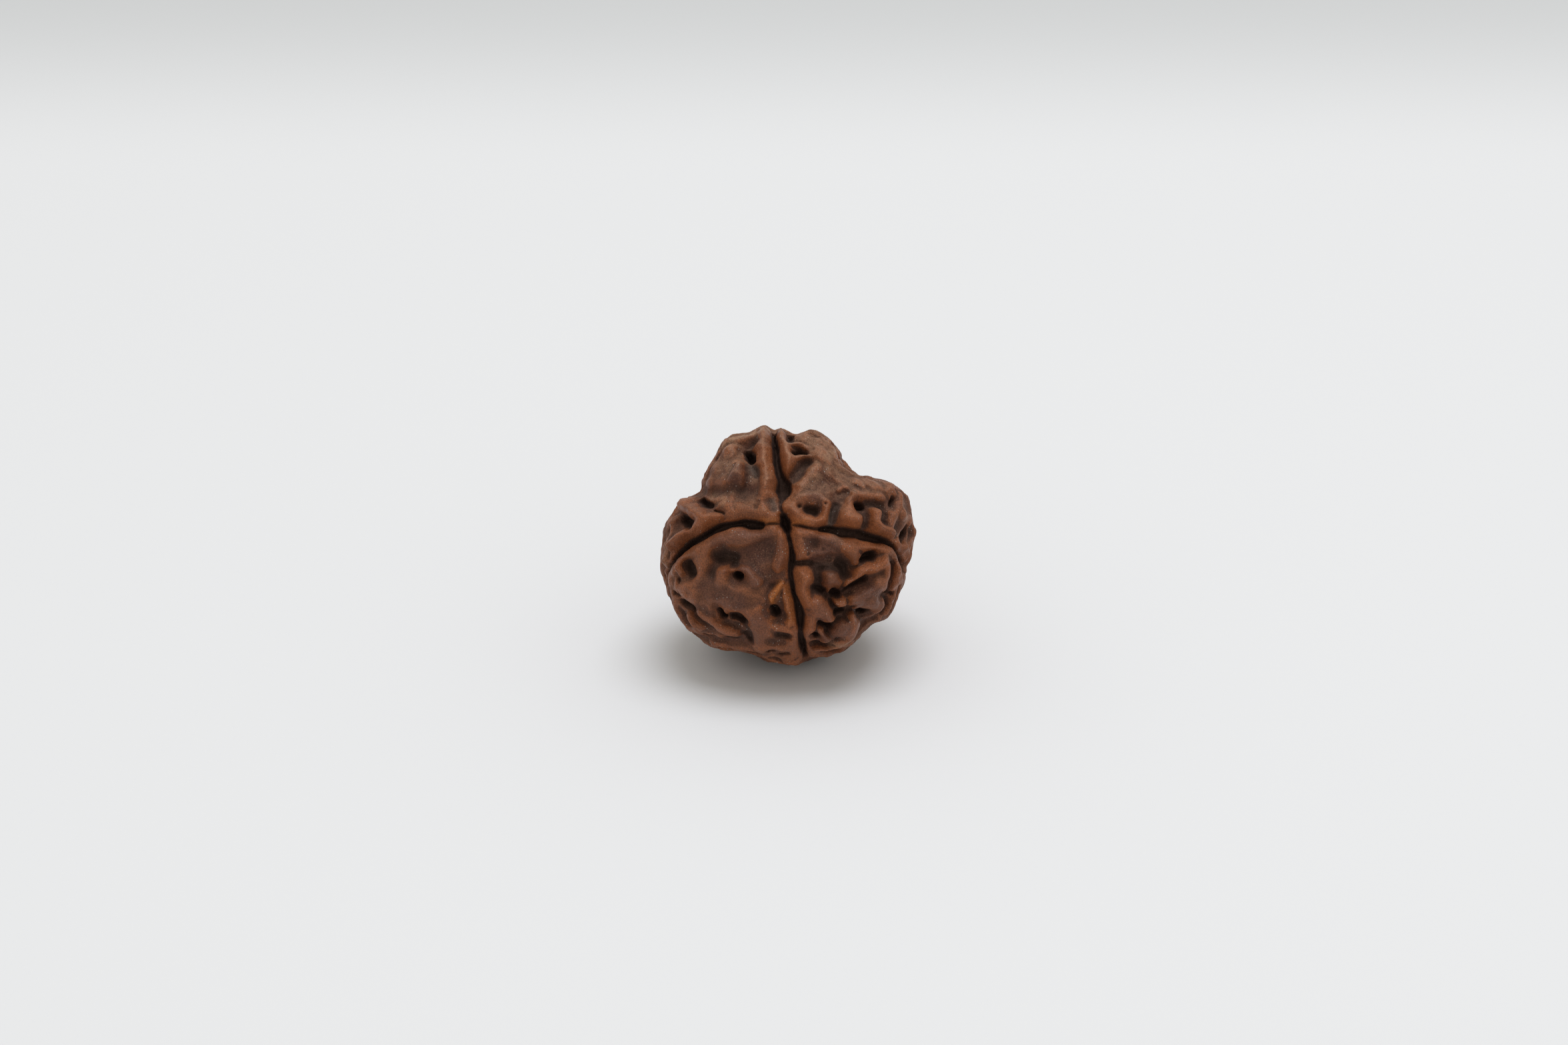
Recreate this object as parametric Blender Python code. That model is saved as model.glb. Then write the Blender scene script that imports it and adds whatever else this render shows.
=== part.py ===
"""A four-faced rudraksha seed, the stone of a fruit, as one closed solid.

It starts as an icosphere. Its vertices go out on rays from the seed's middle to a smooth
form with the rim's outline. From there the relief takes them in or out along lines that
lean towards the viewing axis: four seams that meet in an eye, pits, troughs and raised
ridges, each named by its place, and a raised net with pits over the side turned away
from the eye.

Lengths are millimetres on a face map until the mesh is made. The map is the seed seen
square on to its front: x to the right, y up, w towards the viewer, from the eye.
"""

import math
from itertools import product

import bmesh
import bpy
import numpy as np

NAME = "rudraksha_seed"
MM = 0.001

# The front leans back by this much, so the eye looks up and forward as it rests.
LEAN_DEG = 25.0
# The middle of the body on the face map, below the eye.
MIDDLE = np.array([0.05, -1.87])
# Half the depth of the body through its front and back, and how square its section is.
HALF_DEPTH = 9.35
SQUARENESS = 2.3

# Relief goes in and out along lines that lean from the vertex's ray towards the viewing
# axis, by this factor on their w. So a pit's walls stand nearly square to the face map.
LEAN_TO_AXIS = 3.5

# The outline on the face map, clockwise from the left shoulder.
OUTLINE = (
    (-9.5, 1.6), (-8.6, 2.2), (-7.6, 2.65), (-7.42, 2.85), (-7.43, 3.6), (-7.05, 4.45),
    (-6.85, 5.0), (-6.25, 5.7), (-6.0, 6.45), (-5.6, 7.15), (-4.75, 7.7), (-3.4, 7.8),
    (-2.8, 8.15), (-2.1, 8.55), (-1.7, 8.45), (-1.22, 7.95), (-0.8, 8.25), (-0.3, 8.2),
    (0.1, 7.72), (0.85, 7.5), (1.3, 7.8), (1.9, 8.2), (3.0, 7.8), (3.85, 7.15),
    (4.4, 6.45), (4.72, 5.65), (5.5, 4.6), (6.1, 3.95), (6.9, 4.2), (7.3, 3.9),
    (8.5, 3.7), (9.6, 3.05), (10.45, 2.1), (10.7, 1.0), (10.75, 0.1), (11.08, -0.8),
    (10.75, -2.0), (10.6, -3.1), (10.2, -3.8), (10.27, -4.45), (9.63, -6.1), (9.1, -7.4),
    (8.3, -8.4), (7.25, -8.7), (6.4, -9.6), (5.2, -10.8), (4.5, -11.15), (4.1, -11.1),
    (3.35, -11.6), (2.95, -11.45), (1.65, -11.85), (0.5, -12.32), (-0.9, -11.95),
    (-1.9, -11.9), (-2.8, -11.3), (-4.0, -11.05), (-6.6, -10.68), (-7.6, -10.0),
    (-8.5, -9.3), (-9.5, -7.95), (-10.4, -6.0), (-10.6, -4.95), (-10.95, -4.2),
    (-10.88, -2.3), (-10.6, 0.0), (-9.95, 0.85),
)
# Harmonics of the outline up to about this one shape the whole body. Finer ones stay near
# the rim, in a band this wide.
BODY_HARMONICS = 8.0
RIM_HARMONICS = 80.0
RIM_BAND_DEG = 20.0
OUTLINE_STEPS = 720
# Rounds that bring a point of the face map on to the base surface, and how far from its
# path a feature can reach.
SPOT_ROUNDS = 12
FEATURE_REACH = 3.0

# Hollows: depth, softness of the wall, and a path of x, y and half width.
# The four seams that part the faces, the eye that they meet in, and their side channels.
SEAMS = (
    (2.5, 0.32, ((-0.36, 0.6, 0.16), (-0.2, 0.1, 0.34), (-0.06, -0.35, 0.2))),
    (1.0, 0.16, ((-0.3, 0.6, 0.07), (-0.5, 1.35, 0.07), (-0.5, 1.9, 0.1))),
    (2.2, 0.20, ((-0.5, 2.0, 0.1), (-0.38, 2.5, 0.34), (-0.25, 3.0, 0.6), (-0.3, 3.45, 0.56),
                 (-0.65, 4.0, 0.32), (-0.88, 4.6, 0.22), (-1.0, 5.4, 0.2), (-1.08, 6.2, 0.19),
                 (-1.1, 7.0, 0.17), (-1.18, 7.9, 0.1))),
    (1.0, 0.45, ((0.2, 3.7, 0.3), (0.9, 4.4, 0.38), (1.6, 5.15, 0.3))),
    (0.8, 0.14, ((-0.7, 0.0, 0.06), (-1.2, 0.03, 0.05), (-2.1, -0.02, 0.07))),
    (2.2, 0.16, ((-2.45, 0.0, 0.24), (-2.9, 0.02, 0.28), (-3.8, -0.02, 0.3),
                 (-4.9, -0.12, 0.24), (-5.7, -0.32, 0.3), (-6.6, -0.72, 0.28),
                 (-7.5, -1.15, 0.24), (-8.4, -1.6, 0.2), (-9.1, -2.05, 0.24),
                 (-9.6, -2.7, 0.26), (-10.0, -3.5, 0.16), (-10.5, -4.8, 0.14))),
    (0.8, 0.14, ((0.5, -0.1, 0.06), (1.2, -0.12, 0.05), (2.1, -0.3, 0.06), (2.8, -0.35, 0.1))),
    (2.1, 0.18, ((2.8, -0.38, 0.1), (3.6, -0.5, 0.24), (4.4, -0.78, 0.28), (5.2, -0.75, 0.27),
                 (6.2, -0.85, 0.3), (7.0, -1.08, 0.28), (7.8, -1.42, 0.23),
                 (8.4, -1.7, 0.14), (8.9, -1.95, 0.08), (9.3, -2.5, 0.08),
                 (9.7, -3.1, 0.18), (10.1, -3.8, 0.18))),
    (1.8, 0.16, ((0.0, -0.6, 0.08), (0.12, -1.5, 0.07), (0.25, -2.3, 0.09),
                 (0.4, -3.1, 0.2), (0.42, -3.5, 0.24), (0.32, -4.1, 0.16),
                 (0.4, -4.7, 0.13), (0.5, -5.4, 0.1), (0.6, -6.0, 0.08))),
    (2.0, 0.17, ((0.6, -6.0, 0.08), (0.78, -6.6, 0.15), (0.9, -7.2, 0.24), (1.0, -7.9, 0.3),
                 (1.05, -8.5, 0.22), (1.0, -9.1, 0.09), (1.05, -9.8, 0.22), (1.2, -10.5, 0.26),
                 (1.4, -11.0, 0.2), (1.6, -11.8, 0.14))),
    (1.5, 0.28, ((0.5, -3.35, 0.2), (1.0, -3.38, 0.14), (2.0, -3.45, 0.16))),
    (1.1, 0.60, ((2.0, -3.5, 0.16), (2.9, -3.5, 0.16), (3.9, -3.4, 0.2), (4.5, -3.4, 0.2))),
)
UPPER_LEFT_HOLLOWS = (
    (2.3, 0.26, ((-3.2, 5.5, 0.2), (-3.35, 5.9, 0.34), (-3.5, 6.3, 0.24))),
    (0.6, 0.60, ((-3.3, 6.6, 0.3), (-2.85, 7.0, 0.2))),
    (0.5, 0.40, ((-5.75, 6.4, 0.24),)),
    (0.7, 0.40, ((-3.35, 5.1, 0.2), (-2.95, 4.6, 0.26), (-2.8, 4.1, 0.2))),
    (0.7, 0.80, ((-4.35, 2.8, 0.4), (-3.7, 2.6, 0.4))),
    (0.35, 0.70, ((-5.9, 2.75, 0.3), (-5.0, 2.5, 0.2))),
    (1.7, 0.28, ((-7.45, 1.95, 0.16), (-7.1, 1.75, 0.26), (-6.65, 1.6, 0.2))),
    (0.7, 0.10, ((-5.5, 0.68, 0.07), (-5.8, 0.9, 0.05), (-6.3, 1.1, 0.04))),
    (2.0, 0.35, ((-9.2, 0.35, 0.24), (-8.8, 0.05, 0.34), (-8.35, -0.2, 0.2))),
    (1.1, 0.25, ((-10.3, -0.7, 0.2),)),
    (0.45, 0.80, ((-1.15, 1.3, 0.16), (-1.3, 1.9, 0.2))),
    (0.3, 0.25, ((-2.7, 1.4, 0.06), (-2.3, 2.0, 0.08))),
    (0.5, 0.30, ((-9.9, 0.5, 0.1), (-9.5, 0.8, 0.1))),
    (0.6, 0.30, ((-10.2, -2.1, 0.12), (-10.3, -3.0, 0.12))),
)
UPPER_RIGHT_HOLLOWS = (
    (1.5, 0.25, ((0.55, 6.05, 0.2), (0.95, 6.15, 0.3), (1.4, 6.0, 0.18))),
    (1.1, 0.25, ((0.25, 7.0, 0.16), (0.3, 7.45, 0.2))),
    (1.0, 0.35, ((6.1, 4.2, 0.4), (5.2, 4.85, 0.28), (4.6, 5.25, 0.2), (4.35, 5.8, 0.14),
                 (4.3, 6.4, 0.14), (4.2, 6.9, 0.14))),
    (0.35, 0.80, ((3.0, 3.3, 0.4), (3.6, 3.0, 0.3))),
    (0.3, 0.40, ((4.4, 2.5, 0.2), (4.9, 2.4, 0.2))),
    (0.5, 0.80, ((1.85, 1.5, 0.22), (2.4, 1.4, 0.24))),
    (1.4, 0.36, ((1.75, 1.22, 0.18), (2.35, 1.18, 0.22))),
    (0.5, 0.20, ((1.1, 1.5, 0.1),)),
    (0.35, 0.16, ((3.15, 1.6, 0.1),)),
    (1.0, 0.30, ((4.0, 1.5, 0.1), (3.85, 1.0, 0.18), (3.75, 0.4, 0.16), (3.65, -0.2, 0.18))),
    (2.1, 0.24, ((5.95, 1.55, 0.3), (6.35, 1.45, 0.3))),
    (1.0, 0.50, ((6.7, 1.72, 0.22), (7.4, 1.75, 0.18), (8.0, 1.45, 0.18), (8.25, 0.9, 0.12))),
    (1.0, 0.45, ((6.65, 0.6, 0.1), (6.6, 0.15, 0.1), (6.5, -0.4, 0.14))),
    (0.16, 0.30, ((6.65, 2.95, 0.12),)),
    (0.14, 0.20, ((5.7, 3.1, 0.1),)),
    (1.2, 0.16, ((8.15, 0.35, 0.16),)),
    (1.5, 0.18, ((8.85, 1.6, 0.14), (8.85, 2.15, 0.16))),
    (0.9, 0.35, ((9.3, -1.0, 0.2), (9.35, -0.4, 0.14))),
    (1.8, 0.30, ((9.9, -1.35, 0.3), (10.3, -0.7, 0.34))),
)
LOWER_RIGHT_HOLLOWS = (
    (0.5, 0.40, ((2.15, -1.5, 0.2), (2.2, -1.8, 0.2))),
    (0.3, 0.20, ((1.65, -2.7, 0.1),)),
    (0.3, 0.20, ((2.9, -2.2, 0.12),)),
    (1.9, 0.34, ((6.35, -3.1, 0.14), (6.7, -2.8, 0.28), (7.2, -2.75, 0.28))),
    (1.7, 0.60, ((4.45, -3.2, 0.24), (4.8, -3.6, 0.34), (4.95, -4.3, 0.2))),
    (1.5, 0.25, ((4.75, -5.75, 0.05), (5.3, -5.4, 0.12), (6.0, -4.95, 0.2), (6.6, -4.7, 0.2))),
    (0.7, 0.70, ((5.3, -5.7, 0.1), (6.1, -5.3, 0.2), (6.8, -5.0, 0.2))),
    (2.0, 0.26, ((4.05, -5.85, 0.3), (4.35, -5.95, 0.28))),
    (1.1, 0.60, ((2.5, -3.95, 0.14), (2.7, -4.6, 0.06), (2.6, -5.3, 0.16))),
    (1.8, 0.40, ((2.35, -5.45, 0.12), (2.7, -5.55, 0.22), (3.05, -5.75, 0.12))),
    (1.1, 0.22, ((3.6, -6.4, 0.1), (3.8, -6.9, 0.14), (4.2, -7.25, 0.14), (4.9, -7.15, 0.16))),
    (1.8, 0.26, ((4.15, -7.6, 0.24), (4.75, -7.5, 0.2))),
    (0.45, 0.30, ((5.1, -6.4, 0.04), (5.15, -6.9, 0.04))),
    (1.7, 0.20, ((2.55, -8.45, 0.14), (3.0, -8.7, 0.14), (3.45, -8.85, 0.22))),
    (1.7, 0.22, ((2.05, -9.45, 0.16), (2.35, -9.65, 0.24))),
    (1.2, 0.20, ((2.2, -10.4, 0.14), (3.3, -10.32, 0.14))),
    (0.8, 0.18, ((2.8, -11.0, 0.1), (3.4, -10.95, 0.1))),
    (0.4, 0.20, ((4.1, -9.65, 0.16),)),
    (0.6, 0.24, ((4.4, -10.7, 0.12), (5.2, -10.45, 0.12))),
    (1.9, 0.24, ((6.3, -7.55, 0.2), (6.75, -7.6, 0.22))),
    (0.8, 0.24, ((6.35, -8.4, 0.14), (6.2, -8.8, 0.18), (6.0, -9.1, 0.12))),
    (1.2, 0.20, ((8.1, -6.0, 0.1), (8.6, -5.85, 0.12), (9.0, -6.0, 0.12))),
    (1.2, 0.24, ((8.8, -3.5, 0.1), (8.7, -4.5, 0.12), (8.55, -5.4, 0.12), (8.3, -6.0, 0.14),
                 (8.65, -6.5, 0.1), (8.6, -7.1, 0.14), (8.3, -7.7, 0.14))),
)
LOWER_LEFT_HOLLOWS = (
    (0.5, 1.40, ((-2.0, -2.4, 0.5), (-3.2, -3.0, 0.6))),
    (1.8, 0.90, ((-5.9, -3.0, 0.26), (-5.2, -2.75, 0.42), (-4.6, -2.85, 0.36),
                 (-4.45, -3.3, 0.2))),
    (0.7, 0.80, ((-6.2, -3.4, 0.2), (-6.5, -4.3, 0.2))),
    (2.2, 0.18, ((-4.2, -4.42, 0.24), (-4.05, -4.46, 0.24))),
    (1.4, 0.40, ((-8.65, -3.6, 0.36), (-8.35, -4.05, 0.44))),
    (0.7, 0.18, ((-9.25, -4.95, 0.12),)),
    (1.5, 0.35, ((-9.1, -6.95, 0.2), (-8.6, -7.15, 0.28), (-8.2, -7.4, 0.14))),
    (0.7, 0.40, ((-7.9, -7.9, 0.14), (-7.3, -8.5, 0.14), (-6.6, -8.9, 0.12))),
    (0.8, 0.20, ((-9.75, -6.0, 0.09), (-9.3, -6.3, 0.09))),
    (2.3, 0.22, ((-5.75, -7.65, 0.26), (-5.6, -7.9, 0.28))),
    (1.8, 0.45, ((-4.8, -8.1, 0.26), (-4.3, -8.15, 0.36), (-3.95, -8.4, 0.28))),
    (0.9, 0.60, ((-5.3, -8.35, 0.2), (-4.4, -8.75, 0.26))),
    (0.7, 0.60, ((-4.5, -8.8, 0.35),)),
    (1.0, 0.40, ((-5.3, -10.0, 0.2), (-4.5, -10.1, 0.24))),
    (1.0, 0.28, ((-7.0, -9.75, 0.14), (-6.4, -9.85, 0.16))),
    (0.5, 0.14, ((-6.85, -7.75, 0.1),)),
    (2.2, 0.26, ((-1.15, -7.45, 0.26), (-1.05, -7.75, 0.28))),
    (0.8, 0.55, ((-0.9, -7.6, 0.45), (-0.55, -7.8, 0.25), (-0.75, -8.1, 0.14))),
    (1.2, 0.50, ((-0.85, -9.55, 0.12), (-0.1, -9.55, 0.18))),
    (0.6, 0.90, ((-1.15, -9.95, 0.16), (-0.45, -9.8, 0.26))),
    (1.0, 0.16, ((-1.75, -11.0, 0.05), (-1.5, -10.86, 0.08), (-1.25, -10.97, 0.05))),
    (1.1, 0.20, ((-0.5, -11.3, 0.1), (0.0, -11.25, 0.12))),
    (1.2, 0.40, ((-3.6, -9.6, 0.34), (-3.4, -10.1, 0.24))),
    (0.9, 0.30, ((-3.75, -8.8, 0.14), (-3.45, -9.3, 0.16))),
)
# Lowlands: the ground between the ridges, lower than the body. Ridges stand out of it.
LOWLANDS = (
    (0.5, 1.40, ((-3.4, 3.2, 0.8), (-3.2, 4.4, 0.5))),
    (0.35, 1.00, ((-7.2, 2.6, 0.4), (-5.6, 2.6, 0.4))),
    (0.4, 1.00, ((-3.6, 6.2, 0.5),)),
    (0.7, 0.80, ((-9.3, 0.0, 0.6), (-8.0, 0.9, 0.3))),
    (0.5, 0.90, ((1.0, 6.2, 0.5), (0.6, 7.2, 0.3))),
    (0.6, 1.00, ((4.9, 6.0, 0.6), (5.2, 5.0, 0.3))),
    (0.5, 0.90, ((4.0, 2.0, 0.4), (3.9, 0.6, 0.4))),
    (0.8, 0.90, ((6.2, 1.2, 0.5), (8.0, 1.3, 0.4), (8.2, 0.3, 0.3))),
    (0.6, 1.20, ((-2.4, -2.3, 0.8), (-3.6, -2.9, 0.8), (-5.6, -3.0, 0.7))),
    (0.5, 1.00, ((-1.8, -4.2, 0.6), (-1.4, -5.4, 0.5))),
    (0.3, 1.20, ((-5.0, -4.9, 0.7),)),
    (0.4, 0.90, ((-8.5, -3.8, 0.6),)),
    (0.45, 0.90, ((-8.9, -7.6, 0.4), (-7.4, -8.8, 0.4), (-5.0, -9.0, 0.5))),
    (0.8, 0.90, ((-6.5, -10.1, 0.3), (-4.2, -10.2, 0.4), (-3.6, -9.2, 0.3))),
    (0.4, 0.90, ((-0.9, -7.4, 0.6),)),
    (0.15, 1.20, ((2.4, -1.9, 0.5), (3.8, -2.2, 0.6))),
    (1.5, 0.80, ((2.6, -3.8, 0.4), (3.6, -3.6, 0.6), (4.9, -3.9, 0.5))),
    (1.1, 0.80, ((5.2, -3.9, 0.3), (6.8, -3.1, 0.4))),
    (1.5, 0.80, ((2.7, -4.6, 0.4), (2.8, -5.6, 0.4), (3.6, -6.0, 0.3))),
    (1.1, 0.80, ((4.2, -6.0, 0.5), (5.2, -5.5, 0.3), (6.6, -4.9, 0.3))),
    (1.1, 0.80, ((4.2, -7.3, 0.4), (5.2, -7.6, 0.4), (6.6, -7.8, 0.3))),
    (1.1, 0.80, ((2.2, -9.4, 0.4), (3.4, -8.9, 0.4), (4.2, -8.2, 0.3))),
    (0.8, 0.80, ((2.2, -10.5, 0.4), (4.8, -10.7, 0.3))),
    (0.7, 0.80, ((6.6, -8.6, 0.4), (7.8, -8.0, 0.3))),
    (0.7, 0.80, ((8.9, -3.8, 0.2), (8.8, -5.4, 0.2), (8.6, -7.0, 0.2))),
    (0.8, 0.80, ((9.3, -0.6, 0.4), (10.2, -1.0, 0.4))),
)
# The seams go on over the back to a second, smaller pit where the canal comes out.
BACK_SEAMS = (
    (1.0, 0.35, ((-1.2, 8.0, 0.16), (-1.3, 6.0, 0.28), (-0.9, 2.5, 0.3), (0.0, -0.8, 0.28),
                 (0.05, -3.5, 0.2))),
    (1.0, 0.35, ((-10.5, -4.9, 0.2), (-8.5, -5.3, 0.3), (-4.5, -4.6, 0.3), (-1.5, -4.1, 0.26),
                 (0.05, -3.8, 0.2))),
    (1.0, 0.35, ((10.1, -3.9, 0.2), (8.2, -4.6, 0.3), (4.5, -4.9, 0.3), (1.8, -4.2, 0.26),
                 (0.05, -3.8, 0.2))),
    (1.0, 0.35, ((1.6, -11.8, 0.16), (1.5, -10.2, 0.28), (0.7, -7.5, 0.3), (0.2, -5.0, 0.26),
                 (0.05, -3.8, 0.2))),
    (1.9, 0.40, ((0.05, -3.74, 0.45),)),
)

# Ridges, lobes and knobs: height, and a path of x, y and half width.
UPPER_LEFT_RIDGES = (
    (0.85, ((-1.8, 7.9, 0.4), (-2.0, 7.0, 0.52), (-2.15, 6.2, 0.7), (-2.05, 5.5, 0.62),
            (-1.8, 4.7, 0.5), (-1.65, 3.9, 0.48), (-1.6, 3.3, 0.4))),
    (0.50, ((-1.6, 3.4, 0.46), (-1.6, 2.5, 0.5), (-1.9, 1.6, 0.5), (-2.3, 1.0, 0.5))),
    (0.35, ((-5.4, 6.85, 0.35), (-4.8, 7.05, 0.4), (-4.0, 7.1, 0.4), (-3.0, 7.3, 0.4),
            (-2.4, 7.8, 0.35))),
    (0.30, ((-5.45, 6.75, 0.4), (-5.8, 6.1, 0.4), (-6.3, 5.6, 0.45))),
    (1.20, ((-4.0, 4.75, 0.3), (-4.25, 4.15, 0.46), (-4.45, 3.5, 0.52))),
    (0.50, ((-4.9, 4.4, 0.7), (-5.3, 3.6, 0.8))),
    (0.45, ((-5.2, 6.0, 0.7), (-5.8, 5.0, 0.9), (-6.2, 4.0, 0.8))),
    (0.35, ((-6.4, 1.95, 0.3), (-5.5, 2.4, 0.3), (-4.9, 2.2, 0.3))),
    (0.25, ((-5.4, 1.35, 0.6), (-4.2, 1.0, 0.7), (-2.8, 1.0, 0.6), (-1.5, 0.7, 0.5))),
    (0.95, ((-5.75, 0.5, 0.22), (-6.6, 0.35, 0.36), (-7.4, 0.0, 0.4), (-8.2, -0.5, 0.36),
            (-8.9, -1.0, 0.34), (-9.5, -1.45, 0.32), (-10.0, -1.9, 0.3))),
    (1.10, ((-8.75, 1.6, 0.46), (-8.2, 1.35, 0.56), (-7.7, 0.9, 0.5), (-7.3, 0.45, 0.42))),
    (0.40, ((-9.9, 0.2, 0.4),)),
    (0.40, ((-10.6, -2.0, 0.35), (-10.6, -3.0, 0.35), (-10.4, -3.9, 0.3))),
    (0.40, ((-10.6, -4.5, 0.4),)),
)
UPPER_RIGHT_RIDGES = (
    (0.75, ((-0.78, 7.9, 0.3), (-0.55, 7.3, 0.36), (-0.35, 6.5, 0.4), (-0.1, 5.7, 0.42),
            (0.05, 5.0, 0.42), (0.05, 4.4, 0.34), (0.0, 3.95, 0.22))),
    (0.45, ((0.2, 5.4, 0.34), (0.9, 5.6, 0.26), (1.5, 5.75, 0.26))),
    (0.45, ((-0.1, 6.75, 0.24), (0.6, 6.72, 0.24), (1.2, 6.6, 0.24), (1.7, 6.3, 0.24))),
    (0.55, ((2.1, 7.3, 1.0), (2.9, 6.8, 1.0), (2.9, 5.8, 0.8))),
    (0.45, ((3.8, 7.0, 0.35), (3.95, 6.4, 0.35), (4.0, 5.4, 0.4), (4.5, 4.7, 0.4),
            (5.5, 4.2, 0.35), (6.1, 3.9, 0.3))),
    (0.35, ((4.75, 6.0, 0.26),)),
    (0.20, ((4.3, 2.75, 0.2), (4.6, 2.9, 0.2), (5.0, 2.8, 0.2))),
    (0.30, ((0.6, 2.9, 0.4), (1.2, 3.6, 0.5), (2.0, 4.6, 0.6))),
    (0.55, ((-0.1, 1.6, 0.32), (0.4, 1.35, 0.42), (0.85, 0.8, 0.42), (1.6, 0.35, 0.36),
            (2.5, 0.35, 0.36), (3.1, 0.55, 0.32), (3.35, 1.1, 0.26), (3.2, 1.6, 0.28))),
    (0.30, ((0.8, 1.9, 0.3), (1.6, 2.1, 0.36), (2.6, 2.0, 0.36), (3.1, 1.7, 0.28))),
    (0.90, ((5.45, 2.4, 0.22), (5.25, 1.8, 0.3), (5.05, 1.2, 0.48), (5.0, 0.6, 0.62))),
    (1.15, ((4.75, 0.45, 0.5), (5.2, 0.25, 0.55), (5.7, 0.3, 0.46))),
    (1.05, ((7.48, 0.75, 0.46), (7.3, 0.15, 0.46), (7.6, -0.25, 0.46), (8.1, -0.55, 0.4),
            (8.8, -0.85, 0.36))),
    (0.40, ((5.9, 2.5, 0.4), (6.8, 2.5, 0.45), (7.6, 2.4, 0.45))),
    (0.75, ((6.2, 3.35, 0.6), (7.1, 3.3, 0.7))),
    (0.80, ((8.45, 3.05, 0.45), (8.6, 2.6, 0.5))),
    (0.50, ((6.95, 4.05, 0.2),)),
    (0.40, ((9.3, 2.4, 0.3), (9.3, 1.4, 0.32), (9.0, 0.7, 0.36), (8.8, 0.0, 0.32))),
    (0.40, ((9.7, 0.8, 0.4),)),
    (0.35, ((10.0, -2.1, 0.35),)),
    (0.35, ((10.3, -3.0, 0.35),)),
)
LOWER_RIGHT_RIDGES = (
    (0.25, ((0.6, -0.6, 0.3), (1.2, -0.7, 0.34), (2.5, -0.85, 0.36), (3.6, -1.05, 0.4),
            (4.4, -1.5, 0.4))),
    (0.20, ((0.7, -0.8, 0.3), (0.75, -1.6, 0.4), (0.9, -2.4, 0.4), (1.0, -2.9, 0.3))),
    (0.50, ((4.9, -1.5, 0.34), (5.6, -1.5, 0.45), (6.4, -1.6, 0.45), (7.2, -1.85, 0.42),
            (8.0, -2.15, 0.36), (8.8, -2.4, 0.32), (9.3, -2.9, 0.28), (9.5, -3.3, 0.26))),
    (0.65, ((5.2, -1.8, 0.5), (5.45, -2.4, 0.48), (5.8, -3.05, 0.36))),
    (1.00, ((5.0, -5.2, 0.14), (5.5, -4.6, 0.36), (6.2, -4.15, 0.42), (7.1, -3.7, 0.42),
            (8.0, -3.25, 0.36))),
    (0.85, ((3.6, -4.75, 0.6), (3.95, -4.9, 0.6), (3.8, -5.35, 0.4))),
    (1.10, ((4.3, -6.72, 0.42), (4.5, -6.65, 0.42))),
    (1.25, ((1.25, -4.15, 0.5), (1.45, -4.6, 0.6), (1.2, -5.35, 0.44), (1.3, -6.0, 0.42),
            (1.6, -6.6, 0.4))),
    (0.80, ((1.6, -4.75, 0.45), (2.0, -4.9, 0.36))),
    (0.95, ((2.5, -6.4, 0.42), (2.65, -7.1, 0.68), (3.4, -7.85, 0.42))),
    (0.50, ((1.7, -7.6, 0.36), (1.9, -8.3, 0.42), (1.8, -8.9, 0.34), (1.5, -9.5, 0.22))),
    (0.80, ((2.65, -8.85, 0.2), (2.9, -9.5, 0.22), (3.2, -9.9, 0.3))),
    (0.85, ((4.3, -8.95, 0.55), (4.9, -9.1, 0.8), (5.2, -9.5, 0.6), (4.6, -9.8, 0.45))),
    (0.65, ((5.4, -7.9, 0.3), (5.6, -8.5, 0.4), (5.6, -9.3, 0.36))),
    (0.85, ((5.5, -6.45, 0.34), (6.4, -6.15, 0.8), (7.2, -5.7, 0.9), (7.8, -5.0, 0.6))),
    (0.95, ((7.1, -6.6, 0.6), (7.75, -6.9, 0.52))),
    (0.85, ((8.3, -3.7, 0.3), (8.35, -4.6, 0.34), (8.15, -5.3, 0.34))),
    (0.60, ((9.35, -3.8, 0.46), (9.3, -4.6, 0.48), (9.2, -5.5, 0.46), (9.05, -6.4, 0.42),
            (8.85, -7.3, 0.36))),
    (0.45, ((2.4, -10.75, 0.2), (3.4, -10.65, 0.2), (4.4, -10.3, 0.26), (5.4, -10.1, 0.24))),
)
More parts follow.
